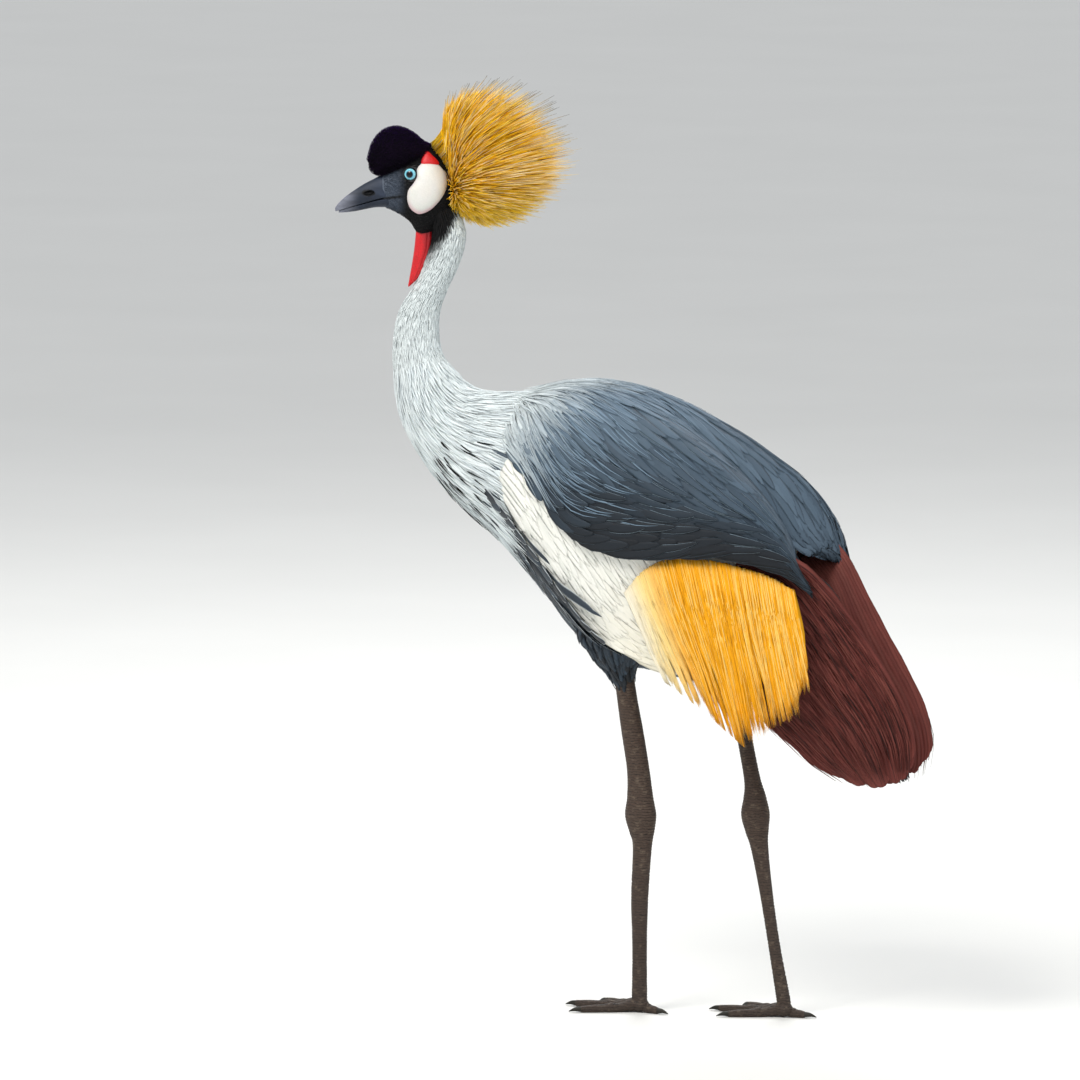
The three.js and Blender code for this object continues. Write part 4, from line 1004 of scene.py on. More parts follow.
def flank_surface(side):
    body = oval_surface(BODY, BODY_ROOTS)
    wing = grid_surface(WING, side, 0)
    rows = np.linspace(*FLANK_BODY, FLANK_ROWS)
    wing_rows = np.linspace(*FLANK_WING, FLANK_ROWS)
    columns = [body.place(rows, np.full(FLANK_ROWS, angle * side)) for angle in (2.95, 2.6)]
    for share in (2.0, 1.7):
        shares_here = np.full(FLANK_ROWS, share)
        columns.append(wing.place(wing_rows, shares_here) + wing.normal(wing_rows, shares_here) * 4)
    return grid_surface(np.stack(columns, 1), 1, 0)


def make_flank_feathers(material, rng):
    for word, side in SIDES:
        flank = flank_surface(side)
        rows = [np.array([u, *rest]) for us, *rest in FLANK_FEATHERS for u in us]
        u, v, heading, length, width = np.array(rows).T
        count = len(u)
        length = length * rng.uniform(0.9, 1.1, count)
        heading = heading + rng.normal(0, 0.05, count)

        def colour(u, v, share):
            base = mix(BREAST_DARK, SLATE, rng.random((count, 1, 1)) * 0.6)
            # Painted shade: each feather is darker towards its root, under the ones above it.
            return base * mix(0.5, 1.2, share)[None, :, None]
        piece = grow("flank_feathers_" + word, flank, (u, v), heading, length, width, 0.6, POINTED, VANE,
                     colour, (-1.5, rng.uniform(2.6, 3.8, count)), stations=12, bend=-0.25, camber=0.14)
        finish_piece(piece, material, "breast_grey")


def make_thighs():
    rng = seeded(14)
    for word, _ in SIDES:
        limb = limb_surface(THIGHS[word] - [0, 0, 0, 3, 3])
        u, v = scatter(limb, (0, 3.95), (-math.pi, math.pi), (8, 5), rng)

        def colour(u, v, share):
            base = mix(SLATE_DARK, SLATE, rng.random((len(u), 1, 1)))
            # Painted shade: each feather is darker towards its root, under the ones above it.
            return varied(base * mix(0.6, 1.1, share)[None, :, None], rng, len(u), 0.1)
        length = np.interp(u, [0, 4], [34, 15]) * rng.uniform(0.8, 1.1, len(u))
        width = np.interp(u, [0, 4], [10, 4.5])
        piece = grow("thigh_feathers_" + word, limb, (u, v), rng.normal(0, 0.12, len(u)), length, width,
                     0.6, ROUND, TUFT, colour, (-0.5, rng.uniform(1.5, 3.5, len(u))), camber=0.2)
        finish_piece(piece, feather_material("thigh_" + word, 0.7, 0.2), "thigh_feathers")


# How far the back feathers turn down from the wing's length, and how dark the lower ones are.
def cape_heading(u, v, rng, spread):
    turn = np.interp(u, [0, 2, 5, 8], [0.95, 0.66, 0.38, 0.12]) * smoothstep(-0.3, 1.3, v)
    along_edge = smoothstep(1.3, 2.8, v) * mix(0.75, 1.0, smoothstep(-0.2, 1.2, u))
    return turn * (1 - 0.8 * along_edge) + rng.normal(0, spread, len(u))


# Share of its length that a back feather keeps where the feathers turn along the lower edge.
def cape_room(u, v):
    return 1 - smoothstep(1.4, 2.6, v) * mix(0.5, 0.15, smoothstep(0.5, 2.5, u))


def cape_colour(u, v, rng):
    low = smoothstep(1.2, 3, v) * smoothstep(0.0, 2.0, u)
    shade = np.clip(0.95 * low + 0.2 * rng.random(len(u)) - 0.05, 0, 1)[:, None, None]
    base = mix(SLATE, SLATE_DARK, shade)
    crown = smoothstep(2.0, 0.2, v) * mix(0.25, 0.75, rng.random(len(u)))
    front = smoothstep(3.2, 0.4, u + 0.5 * v) * mix(0.5, 1.0, rng.random(len(u)))
    base = mix(base, SLATE_PALE, np.clip(0.55 * crown + 0.8 * front, 0, 1)[:, None, None])
    pale = smoothstep(1.3, 0.0, u + 0.3 * v) * mix(0.6, 1.0, rng.random(len(u)))
    return mix(base, NECK_PALE, pale[:, None, None])


# Slate feathers over the back: smooth broad vanes, then slim long ones with pale edges.
def make_cape():
    for word, side in SIDES:
        rng = seeded(20 + side)
        cape = grid_surface(CAPE, side, 80)
        u, v = scatter(cape, (-0.1, 7.85), (0, 2.94), (15, 7), rng)
        count = len(u)

        def colour(u, v, share):
            # Painted shade: each feather is darker towards its root, under the ones above it.
            return cape_colour(u, v, rng) * mix(0.72, 1.04, smoothstep(0, 0.8, share))[None, :, None]

        length = np.interp(u, [0, 2, 5, 7, 8], [56, 104, 112, 62, 30]) * rng.uniform(0.85, 1.12, count)
        width = np.interp(u, [0, 2, 5, 8], [10, 15, 16, 8]) * rng.uniform(0.85, 1.15, count)
        piece = grow("cape_feathers_" + word, cape, (u, v), cape_heading(u, v, rng, 0.03),
                     length * cape_room(u, v), width, 0.35, POINTED, VANE, colour,
                     (-1.6, rng.uniform(0.8, 1.6, count)), stations=9, bend=-0.4, camber=0.05, roll=0.03,
                     rng=rng)
        material = feather_material("cape_" + word, 0.66, 0.12, rim=SLATE_PALE, rim_from=0.84, rim_share=0.28,
                                    Specular_IOR_Level=0.35)
        finish_piece(piece, material, "slate_feathers", "cape_" + word)

        u, v = scatter(cape, (0.2, 5.6), (0.9, 2.8), (44, 20), rng)
        count = len(u)
        length = np.interp(u, [0, 2, 6], [70, 100, 110]) * rng.uniform(0.8, 1.1, count)
        piece = grow("cape_edged_" + word, cape, (u, v), cape_heading(u, v, rng, 0.05),
                     length * cape_room(u, v), rng.uniform(9, 14, count), 0.5, POINTED, VANE, colour,
                     (-1.5, rng.uniform(2.0, 2.8, count)), stations=11, bend=-0.5, camber=0.09, roll=0.05,
                     rng=rng)
        material = feather_material("cape_edged_" + word, 0.66, 0.12, rim=ink("93a7b5"), rim_from=0.84,
                                    rim_share=0.8, Specular_IOR_Level=0.35)
        finish_piece(piece, material, "slate_feathers")
        make_mantle_streaks(word, cape, rng)


# Fine pale strands from the neck over the front of the back feathers.
def make_mantle_streaks(word, cape, rng):
    u, v = scatter(cape, (-0.35, 3.0), (0, 2.6), (6, 3.4), rng)
    keep = rng.random(len(u)) > smoothstep(0.0, 3.0, u + 0.35 * v) * 0.95
    u, v = u[keep], v[keep]
    count = len(u)

    def colour(u, v, share):
        front = smoothstep(2.2, 0.0, u + 0.4 * v) * mix(0.6, 1.0, rng.random(len(u)))
        tip = mix(SLATE_PALE, NECK_SHADE, front[:, None])[:, None]
        root = mix(SLATE_PALE, NECK_PALE, smoothstep(1.8, 0.2, u + 0.3 * v)[:, None])[:, None]
        return mix(root, tip, share[None, :, None])
    piece = grow("mantle_streaks_" + word, cape, (u, v), cape_heading(u, v, rng, 0.05) * 0.85,
                 rng.uniform(40, 90, count), rng.uniform(0.8, 2.2, count), 0.3, LANCE, TUFT, colour,
                 (-0.5, rng.uniform(1.8, 2.8, count)), stations=6, bend=-0.4)
    finish_piece(piece, feather_material("mantle_" + word, 0.8, 0.08, Specular_IOR_Level=0.25), "pale_neck")


def make_coverts():
    for word, side in SIDES:
        rng = seeded(30 + side)
        wing = grid_surface(WING, side, 0)
        u, v = scatter(wing, (-0.05, 6), (-0.1, 1.97), (12, 5.5), rng)
        count = len(u)

        def colour(u, v, share):
            shade = mix(WING_WHITE, ink("d2d5cd"), 0.5 * rng.random((len(u), 1, 1)) ** 3)
            gold = smoothstep(1.6, 4.2, u) * smoothstep(0.4, 2, v)
            shade = mix(shade, CREAM, 0.25 * gold[:, None, None])
            # Painted shade: each covert is slightly darker towards its root, under the ones above it.
            return varied(shade * mix(0.93, 1.0, share)[None, :, None], rng, len(u), 0.015)
        heading = np.interp(v, [0, 1, 2], [0.8, 0.42, 0.02]) + rng.normal(0, 0.03, count)
        length = np.interp(u, [0, 1.5, 4, 6], [44, 66, 66, 34]) * rng.uniform(0.9, 1.1, count)
        piece = grow("coverts_" + word, wing, (u, v), heading, length, rng.uniform(9, 12, count), 0.25,
                     POINTED, VANE, colour, (-1.0, rng.uniform(0.5, 0.9, count)), stations=7, camber=0.03)
        material = feather_material("coverts_" + word, 0.85, 0.02, bump=0.00006)
        finish_piece(piece, material, "white_coverts", "wing_" + word)


# Gold plumes: broad strands under fine ones, gathered towards the tips in loose locks.
PLUME_LOCKS = 46
PLUME_ROWS = 6.2
PLUME_LAYERS = (
    ("under", 240, 8, (5.0, 9.0), (-4.5, -2.8), (2.1, 2.65)),
    ("over", 3400, 7, (0.8, 1.9), (-2.5, 1.6), (2.4, 3.12)),
)


def make_plumes():
    for word, side in SIDES:
        rng = seeded(40 + side)
        shift = (FAR_PLUMES_SHIFT if side > 0 else 0, 0, 0)
        plumes = grid_surface(PLUMES, side, 0, shift)
        lock_row = (np.arange(PLUME_LOCKS) + 0.5) * PLUME_ROWS / PLUME_LOCKS - 0.05
        lock_row = lock_row + rng.normal(0, 0.05, PLUME_LOCKS)
        lock_end = rng.random(PLUME_LOCKS) ** 1.9
        lock_sway = rng.normal(0, 0.08, PLUME_LOCKS)
        for layer, count, stations, widths, depth, ends in PLUME_LAYERS:
            row = np.sort(rng.uniform(-0.05, 6.1, count))
            lock = np.clip(((row + 0.05) * PLUME_LOCKS / PLUME_ROWS).astype(int), 0, PLUME_LOCKS - 1)
            start = rng.uniform(0, 1, count) ** 1.6 * (1.2 if layer == "over" else 0.2) + 0.02
            finish = mix(ends[1], ends[0], np.clip(lock_end[lock] + rng.normal(0, 0.16, count), 0, 1))
            finish = np.maximum(finish, start + 0.8) + 1.3 * smoothstep(4.0, 6.0, row) * lock_end[lock]
            share = shares(stations)
            gather = smoothstep(0.3, 1.0, share)[None, :]
            centre = (lock_row + lock_sway)[lock][:, None]
            us = mix(row[:, None], centre, 0.72 * gather) + rng.normal(0, 0.03, count)[:, None] * share
            us = np.clip(us + 0.03 * np.sin(share * 5 + rng.uniform(0, 6.3, count)[:, None]), -0.1, 6.15)
            vs = mix(start[:, None], finish[:, None], share)
            out = plumes.normal(us, vs)
            rise = mix(depth[0], rng.uniform(depth[1] - 1.4, depth[1], count)[:, None], 1 - (1 - share) ** 2)
            path = plumes.place(us, vs) + out * rise[..., None]
            half = rng.uniform(*widths, count)[:, None] / 2 * outline(share, *TAPER)
            thick = np.broadcast_to(0.5 * (1 - 0.5 * share), half.shape)
            kind = rng.random(count)
            base = mix(GOLD, GOLD_DEEP, (kind < 0.2)[:, None] * 0.75)
            base = mix(base, GOLD_PALE, (kind > mix(0.85, 0.6, smoothstep(2, 5, row)))[:, None] * 0.85)
            base = mix(base, CREAM, smoothstep(1.7, 0.5, row + 0.3 * start)[:, None] * 0.9)
            base = mix(base, WING_WHITE, 0.7 * smoothstep(0.9, 0.1, row + 0.3 * start)[:, None])
            # Painted shade: each strand is darker towards its root, under the feathers over it.
            tint = base[:, None] * mix(0.88, 1.05, share)[None, :, None]
            tint = tint * rng.uniform(0.88, 1.08, (count, 1, 1))
            ring = TUFT if layer == "under" else STRAND
            piece = feather_mesh("plumes_%s_%s" % (layer, word), path, out, half, thick, ring, tint,
                                 plumes.unwrap(row, start), 0.0, share)
            material = feather_material("plume_%s_%s" % (layer, word), 0.7, 0.1, Specular_IOR_Level=0.2)
            nodes = ("plumes_" + word,) if layer == "over" else ()
            finish_piece(piece, material, "gold_plumes", *nodes)


# The long chestnut wing feathers: broad vanes from their roots to the drooping tips, then barbs.
SECONDARY_TIPS = np.array([
    [5.3, 0.04], [6.1, 0.05], [6.9, 0.07], [7.5, 0.14], [7.85, 0.28], [8.0, 0.45], [7.9, 0.62],
    [7.75, 0.8], [7.4, 0.93],
])


# Depth of a bundle's first and last vane within its thickness, from -1 inside to 1 outside.
BUNDLE_LAYERS = (-0.8, 0.8)


def bundle_feathers(name, table, side, tips, count, width, shape, colour, rng, stations=24):
    order = np.arange(count) / (count - 1)
    tip_row, tip_share = along(tips, order * (len(tips) - 1)).T
    tip_row = tip_row + rng.uniform(-0.16, 0.06, count)
    share = shares(stations)
    rows = share * tip_row[:, None]
    root_share = mix(0.06, 0.94, order)
    up = mix(root_share[:, None], tip_share[:, None], smoothstep(0, 1, share))
    chord = along(table, rows)
    tall = np.hypot(chord[..., 0] - chord[..., 2], chord[..., 1] - chord[..., 3])
    taper = outline(share, *shape)
    margin = np.minimum(0.5, width / 2 * np.maximum(taper, 0.5) / tall)
    up = mix(margin, 1 - margin, up)
    layer = mix(*BUNDLE_LAYERS, order)[:, None]
    surface = bundle_surface(table, side, layer)
    path = surface.place(rows, up)
    out = surface.normal(rows, up)
    half = np.broadcast_to(width / 2 * taper, rows.shape)
    ragged = 1 + 0.03 * np.sin(share * 40 + rng.uniform(0, 6.3, count)[:, None])
    thick = np.broadcast_to(1.3 * (1 - 0.6 * share), rows.shape)
    return feather_mesh(name, path, out, half * ragged, thick, BLADE, colour(count, share),
                        surface.unwrap(np.zeros(count), root_share), 0.03, share)


def make_secondaries():
    for word, side in SIDES:
        rng = seeded(50 + side)

        def colour(count, share):
            top = smoothstep(0.35, 0.0, share)[None, :, None]
            base = mix(CHESTNUT, CHESTNUT_PALE, np.clip(top * 0.7 + 0.2 * rng.random((count, 1, 1)), 0, 1))
            return varied(base, rng, count, 0.1)
        piece = bundle_feathers("secondaries_vanes_" + word, SECONDARIES, side, SECONDARY_TIPS, 30, 34,
                                (0.5, 0.72, 2.2), colour, rng, 30)
        material = feather_material("secondary_" + word, 0.68, 0.16, 16.0, shaft=CHESTNUT_DARK,
                                    Specular_IOR_Level=0.3)
        finish_piece(piece, material, "chestnut_feathers", "secondaries_" + word)
        make_loose_barbs(word, side, rng, material)


LOOSE_BARBS = 1700


def make_loose_barbs(word, side, rng, material):
    count, stations = LOOSE_BARBS, 7
    face = bundle_surface(SECONDARIES, side, 1.0)
    start_row = rng.uniform(0.2, 6.2, count)
    reach = rng.uniform(0.9, 2.2, count)
    share = shares(stations)
    rows = np.minimum(start_row[:, None] + reach[:, None] * share, rng.uniform(7.3, 7.95, count)[:, None])
    up = rng.uniform(0.08, 0.92, count)[:, None] + rng.normal(0, 0.015, count)[:, None] * share
    up = mix(up, 0.5, 0.10 * smoothstep(6.8, 8, rows))
    out = face.normal(rows, up)
    lift = mix(-1.5, rng.uniform(0.2, 1.0, count)[:, None], np.sin(share * math.pi * 0.8))
    path = face.place(rows, up) + out * lift[..., None]
    half = rng.uniform(0.8, 2.2, count)[:, None] / 2 * outline(share, *TAPER)
    thick = np.full(half.shape, 0.3)
    kind = rng.random(count)[:, None]
    base = mix(CHESTNUT_DARK, CHESTNUT, np.clip(kind * 3, 0, 1))
    base = mix(base, CHESTNUT_PALE, np.clip(kind * 2 - 1, 0, 1) * 0.45)
    tint = np.broadcast_to(base[:, None], (count, stations, 3))
    piece = feather_mesh("secondaries_barbs_" + word, path, out, half, thick, STRAND, tint,
                         face.unwrap(start_row, up[:, 0]), 0.0, share)
    finish_piece(piece, material, "chestnut_feathers")


def make_primaries():
    for word, side in SIDES:
        rng = seeded(60 + side)
        tips = np.array([[3.2, 0.1], [4, 0.2], [4, 0.8]])

        def colour(count, share):
            return np.broadcast_to(BLACK_FEATHER, (count, len(share), 3))
        piece = bundle_feathers("primaries_vanes_" + word, PRIMARIES, side, tips, 6, 19, (0.5, 0.75, 2.0),
                                colour, rng)
        material = feather_material("primary_" + word, 0.45, 0.2, 20.0, shaft=ink("24262b"))
        finish_piece(piece, material, "black_feathers", "primaries_" + word)


def make_tail():
    rng = seeded(70)
    count, stations = 11, 18
    order = np.linspace(-1, 1, count)
    share = shares(stations)
    rows = np.broadcast_to(share * (len(TAIL) - 1), (count, stations))
    tx, tz, bx, bz, half = np.moveaxis(along(TAIL, rows), -1, 0)
    depth = (0.85 - 0.6 * np.abs(order) + 0.08 * (np.arange(count) % 2))[:, None]
    path = np.stack([mix(bx, tx, depth), order[:, None] * half * 0.62, mix(bz, tz, depth)], -1)
    lean = 0.5
    out = np.broadcast_to(np.array([math.cos(lean), 0, math.sin(lean)]), path.shape)
    width = np.broadcast_to(6.5 * outline(share, 0.6, 0.8, 2.0), half.shape)
    thick = np.broadcast_to(1.1 * (1 - 0.5 * share), half.shape)
    tint = varied(np.broadcast_to(BLACK_FEATHER, (count, stations, 3)), rng, count, 0.3)
    patch = np.stack([np.linspace(0.05, 0.95, count), np.full(count, 0.5)], -1)
    piece = feather_mesh("tail_vanes", path, out, width, thick, BLADE, tint, patch, 0.06, share)
    finish_piece(piece, feather_material("tail", 0.45, 0.2, 20.0), "black_feathers", "tail")


# Crest: stiff bristles from the back of the head to a rounded fan.
def make_crest():
    rng = seeded(80)
    count, stations = BRISTLES, 5
    golden = math.pi * (3 - math.sqrt(5))
    k = np.arange(count)
    forward = mix(-0.995, CREST_FRONT, (k + 0.5) / count)
    turn = k * golden
    ring = np.sqrt(1 - forward**2)
    way = np.stack([-forward, ring * np.cos(turn), ring * np.sin(turn)], -1)
    high, low = smoothstep(-0.2, 0.6, way[:, 2]), smoothstep(-0.25, -0.85, way[:, 2])
    fullness = 1 - mix(0.26, 0.42, high) * rng.random(count) ** mix(0.8, 0.6, high) - 0.06 * low
    tip = CREST_CENTRE + way * CREST_RADII
    root_x = np.interp(way[:, 2], CREST_ROOTS[:, 0], CREST_ROOTS[:, 1])
    root_z = np.interp(way[:, 2], CREST_ROOTS[:, 0], CREST_ROOTS[:, 2])
    root = np.stack([root_x, mix(13, 7, low) * way[:, 1], root_z], -1) + rng.normal(0, 1.2, (count, 3))
    tip = mix(root, tip, fullness[:, None]) + rng.normal(0, 1.5, (count, 3))
    share = shares(stations)
    path = mix(root[:, None], tip[:, None], share[None, :, None])
    crimp = rng.normal(0, 0.35, (count, stations, 3)) * np.minimum(share * 3, 1)[None, :, None]
    path = from_head(path + crimp)
    out = np.broadcast_to(unit(rng.normal(0, 1, (count, 1, 3))), path.shape)
    half = np.broadcast_to(np.interp(share, [0, 0.5, 0.85, 1], [0.5, 0.54, 0.38, 0.12]), (count, stations))
    thick = half * 1.2
    kind = rng.random(count)[:, None, None]
    tints = np.where(kind < 0.12, ink("96600c"), np.where(kind < 0.62, ink("ffc60a"), ink("ffd846")))
    base = np.where(kind < 0.88, tints, ink("ffe6a4"))
    base = mix(base, ink("f8d63c"), low[:, None, None] * 0.6)
    band = 1 + 0.12 * np.sin(share[None, :, None] * 30 + rng.uniform(0, 6.3, (count, 1, 1)))
    # Darker roots: partly their browner gold, partly painted shade inside the dense crest.
    tint = base * mix(0.72, 1.0, smoothstep(0.0, 0.3, share))[None, :, None] * band
    long_ones = smoothstep(0.84, 0.96, fullness)[:, None, None]
    straw = smoothstep(0.6, 0.8, share)[None, :, None] * long_ones
    tint = mix(tint, ink("efd9ae"), straw * 0.8)
    dark = smoothstep(0.84, 0.95, share)[None, :, None] * high[:, None, None] * long_ones
    tint = mix(tint, ink("1f1b1c"), dark)
    patch = np.stack([(forward + 1) / 2, (turn / (2 * math.pi)) % 1], -1) * 0.98 + 0.01
    piece = feather_mesh("crest_bristles", path, out, half, thick, STRAND, tint, patch, 0.0, share)
    material = feather_material("crest", 0.7, 0.14, 40.0, Specular_IOR_Level=0.2)
    finish_piece(piece, material, "crest_gold", "crest")


# Closed smooth line through outline points, and how far out a place lies within it.
def closed_line(outline_points, t):
    wrapped = np.concatenate([outline_points[-2:], outline_points, outline_points[:3]])
    return along(wrapped, t % len(outline_points) + 2)


def reach_in(outline_points, x, z):
    line = closed_line(outline_points, np.linspace(0, len(outline_points), 200, endpoint=False))
    middle = outline_points.mean(0)
    angle = np.arctan2(line[:, 1] - middle[1], line[:, 0] - middle[0])
    far = np.hypot(*(line - middle).T)
    rim = np.interp(np.arctan2(z - middle[1], x - middle[0]), angle, far, period=2 * math.pi)
    return np.hypot(x - middle[0], z - middle[1]) / rim


# Whether places in the head's frame lie on bare skin: cheek, lids or red patch.
def bare(points):
    x, y, z = np.moveaxis(points, -1, 0)
    eye = ((x - EYE[0]) / 8.6) ** 2 + ((z - EYE[2]) / 8.0) ** 2 < 1
    return (eye | (reach_in(CHEEK, x, z) < 0.97) | (reach_in(RED_PATCH, x, z) < 0.93)) & (np.abs(y) > 7)


# Half width of the skull at places of its side view.
def skull_side(x, z):
    rows = np.linspace(0, len(SKULL) - 1, 120)
    tx, tz, bx, bz, half = along(SKULL, rows).T
    u = np.interp(-x, -(tx + bx) / 2, rows)
    _, tz, _, bz, half = np.moveaxis(along(SKULL, u), -1, 0)
    off = np.clip((z - (tz + bz) / 2) / ((tz - bz) / 2), -0.97, 0.97)
    return half * np.sqrt(1 - off**2)


# A domed patch of bare skin on the side of the head.
def side_dome(name, outline_points, side, sunk, bulge):
    front = np.sin(np.linspace(0.02, math.pi / 2, 40))
    reach = np.concatenate([front, front[::-1]])
    depth = np.concatenate([bulge * (1 - front**3) ** 0.6 - sunk, np.full(len(front), -sunk - 3.0)])
    line = closed_line(outline_points, np.linspace(0, len(outline_points), 96, endpoint=False))
    middle = outline_points.mean(0)
    flat = middle + (line - middle) * reach[:, None, None]
    x, z = flat[..., 0], flat[..., 1]
    rings = from_head(np.stack([x, side * (skull_side(x, z) + depth[:, None]), z], -1))
    return tube_object(name, rings)


def make_face():
    rng = seeded(90)
    skull = oval_surface(SKULL, SKULL_ROOTS, head=True)
    u, v = scatter(skull, (0.1, 6.9), (-math.pi, math.pi), (1.9, 1.1), rng)
    keep = ~bare(to_head(skull.place(u, v)))
    u, v = u[keep], v[keep]
    count = len(u)

    def colour(u, v, share):
        base = face_colour(skull.place(u, v))[:, None]
        return varied(base + np.zeros((1, len(share), 1)), rng, len(u), 0.2)
    length = np.interp(u, [0, 4, 6.8], [8, 5, 2.4]) * rng.uniform(0.8, 1.2, count)
    width = np.interp(u, [0, 4, 6.8], [1.9, 1.5, 1.0])
    piece = grow("face_feathers", skull, (u, v), math.pi + rng.normal(0, 0.12, count), length, width, 0.25,
                 TAPER, STRAND, colour, (-0.3, rng.uniform(0.4, 0.9, count)), stations=3)
    finish_piece(piece, feather_material("face", 0.8, 0.1, Specular_IOR_Level=0.25), "black_face")


def make_cap():
    rng = seeded(91)
    core = tube_object("cap_core", rings_of(oval_place(CAP, CAP_ROOTS, head=True), np.linspace(0, 7, 60), 64),
                       lambda points: FACE_BLACK)
    material = skin_material("cap_core", 0.9, 600.0, Specular_IOR_Level=0.1)
    finish_piece(core, material, "black_cap", "forehead_cap")
    cap = oval_surface(CAP, CAP_ROOTS, head=True)
    u, v = scatter(cap, (0.05, 6.95), (-math.pi, math.pi), (1.35, 0.95), rng)
    count = len(u)

    def colour(u, v, share):
        # Painted sheen: violet on the tufts' tips over the top of the cap; the rest is near black.
        top = smoothstep(1.6, 0.1, np.abs(v))[:, None, None]
        tip = smoothstep(0.6, 1, share)[None, :, None]
        return mix(FACE_BLACK * 0.6, ink("43107a"), 0.8 * top * tip * rng.random((len(u), 1, 1)))
    piece = grow("cap_velvet", cap, (u, v), math.pi + rng.normal(0, 0.3, count), rng.uniform(2.6, 4.0, count),
                 rng.uniform(0.6, 0.9, count), 0.35, TAPER, STRAND, colour,
                 (-0.4, rng.uniform(1.8, 2.8, count)), stations=3)
    material = feather_material("velvet", 0.95, 0.1, Specular_IOR_Level=0.1, Sheen_Weight=0.08,
                                Sheen_Tint=(0.45, 0.15, 0.8, 1))
    finish_piece(piece, material, "black_cap")


def make_cheeks():
    def cheek_colour(points):
        head = to_head(points)
        rim = smoothstep(0.78, 1.0, reach_in(CHEEK, head[..., 0], head[..., 2]))
        low = smoothstep(14, -6, head[..., 2])
        return mix(ink("d3d0cb"), ink("cf8e9a"), (rim * mix(0.15, 0.6, low))[..., None])
    for word, side in SIDES:
        piece = side_dome("cheek_skin_" + word, CHEEK, side, 0.8, 6.2)
        paint_piece(piece, cheek_colour)
        material = skin_material("cheek_" + word, 0.5, 700.0, 0.05, 0.00012, Subsurface_Weight=0.1)
        finish_piece(piece, material, "white_cheek", "cheek_" + word)
        patch = side_dome("red_patch_" + word, RED_PATCH, side, 0.6, 3.0)
        paint_piece(patch, lambda points: RED)
        finish_piece(patch, skin_material("red_patch_" + word, 0.5, 900.0, 0.2, 0.0003), "red_skin")


def make_eyes():
    for word, side in SIDES:
        a, t = ball_angles(64, 96, 0.015)
        aim = unit(np.array([-0.22, side, 0.06]))
        right = unit(np.cross(aim, [0, 0, 1.0]))
        up = np.cross(right, aim)
        around = right * np.cos(t)[..., None] + up * np.sin(t)[..., None]
        local = aim * np.cos(a)[..., None] + around * np.sin(a)[..., None]
        rings = from_head(mirrored(EYE, side) + local * EYE_RADIUS)
        (points, faces), _ = tube(rings)
        radius = np.minimum(a, math.pi / 2) / (math.pi / 2) * 1.2
        radial = np.stack([radius, t / (2 * math.pi)], -1).reshape(-1, 2)
        radial = np.concatenate([radial, [[0, 0], [1.2, 0]]])
        piece = new_object("eyeball_" + word, points, faces, vane=radial)
        finish_piece(piece, eye_material(), "eye_blue", "eye_" + word)


# The bill halves are widest where they meet, a share `keel` up from their undersides.
def bill_half(name, table, keel, sides):
    def place(u, v):
        tx, tz, bx, bz, half = np.moveaxis(along(table, u), -1, 0)
        zero = np.zeros_like(tx)
        top, bottom = np.stack([tx, zero, tz], -1), np.stack([bx, zero, bz], -1)
        middle = mix(bottom, top, keel)
        rise = np.cos(v)[..., None]
        out = (top - middle) * np.maximum(rise, 0) + (bottom - middle) * np.maximum(-rise, 0)
        return from_head(middle + out + np.stack([zero, half * np.sin(v), zero], -1))
    return tube_object(name, rings_of(place, np.linspace(0, len(table) - 1, 130), sides))


NOSTRIL = np.array([-78.5, 9.4, 15.2])
NOSTRIL_RADII = np.array([6.4, 5.0, 2.8])


def bill_colour(points):
    x, _, z = np.moveaxis(to_head(points), -1, 0)
    far = -(x + 58) / 57
    colour = mix(LORE_GREY * [0.4, 0.43, 0.5], BILL_DARK, smoothstep(0.1, 0.4, far)[..., None] * 0.4)
    colour = mix(colour, BILL_PALE, (smoothstep(0.5, 0.9, far) * 0.5)[..., None])
    # Painted shade: the nostril's hollow goes near black.
    hole = ((x - NOSTRIL[0]) / 7) ** 2 + ((z - NOSTRIL[2]) / 3.3) ** 2
    return mix(colour, BILL_DARK * 0.2, smoothstep(1.3, 0.9, hole)[..., None])


def make_bill():
    upper = bill_half("bill_top", UPPER_BILL, 0.1, 72)
    nostrils = [head_ball("nostril", mirrored(NOSTRIL, side), NOSTRIL_RADII, -12) for _, side in SIDES]
    boolean(upper, nostrils, "DIFFERENCE")
    lower = bill_half("bill_bottom", LOWER_BILL, 0.88, 64)
    for piece, node in ((upper, "bill_upper"), (lower, "bill_lower")):
        paint_piece(piece, bill_colour)
        finish_piece(piece, horn_material(node), "bill_horn", node)


def make_throat_lobe():
    def place(u, v):
        points = oval_place(THROAT_LOBE, 0.0, head=True)(u, v)
        crease = np.exp(-((np.sin(v) ** 2 - 0.86) / 0.1) ** 2)
        inner = oval_place(THROAT_LOBE, -1.0, head=True)(u, v)
        return mix(points, inner, 0.8 * crease[..., None])

    def colour(points):
        head = to_head(points)
        # Painted light and shade: lighter red on the lit front of the lobe, deeper red towards its back edge
        # by the neck.
        shade = smoothstep(-24, -12, head[..., 0] + 0.22 * (head[..., 2] + 40))[..., None]
        return mix(RED, RED_DEEP, shade * 0.7)
    rings = rings_of(place, np.linspace(0, len(THROAT_LOBE) - 1, 110), 64)
    piece = tube_object("throat_wattle", rings, colour)
    material = skin_material("wattle", 0.42, 600.0, 0.18, 0.0003, Coat_Weight=0.1)
    finish_piece(piece, material, "red_skin", "throat_lobe")


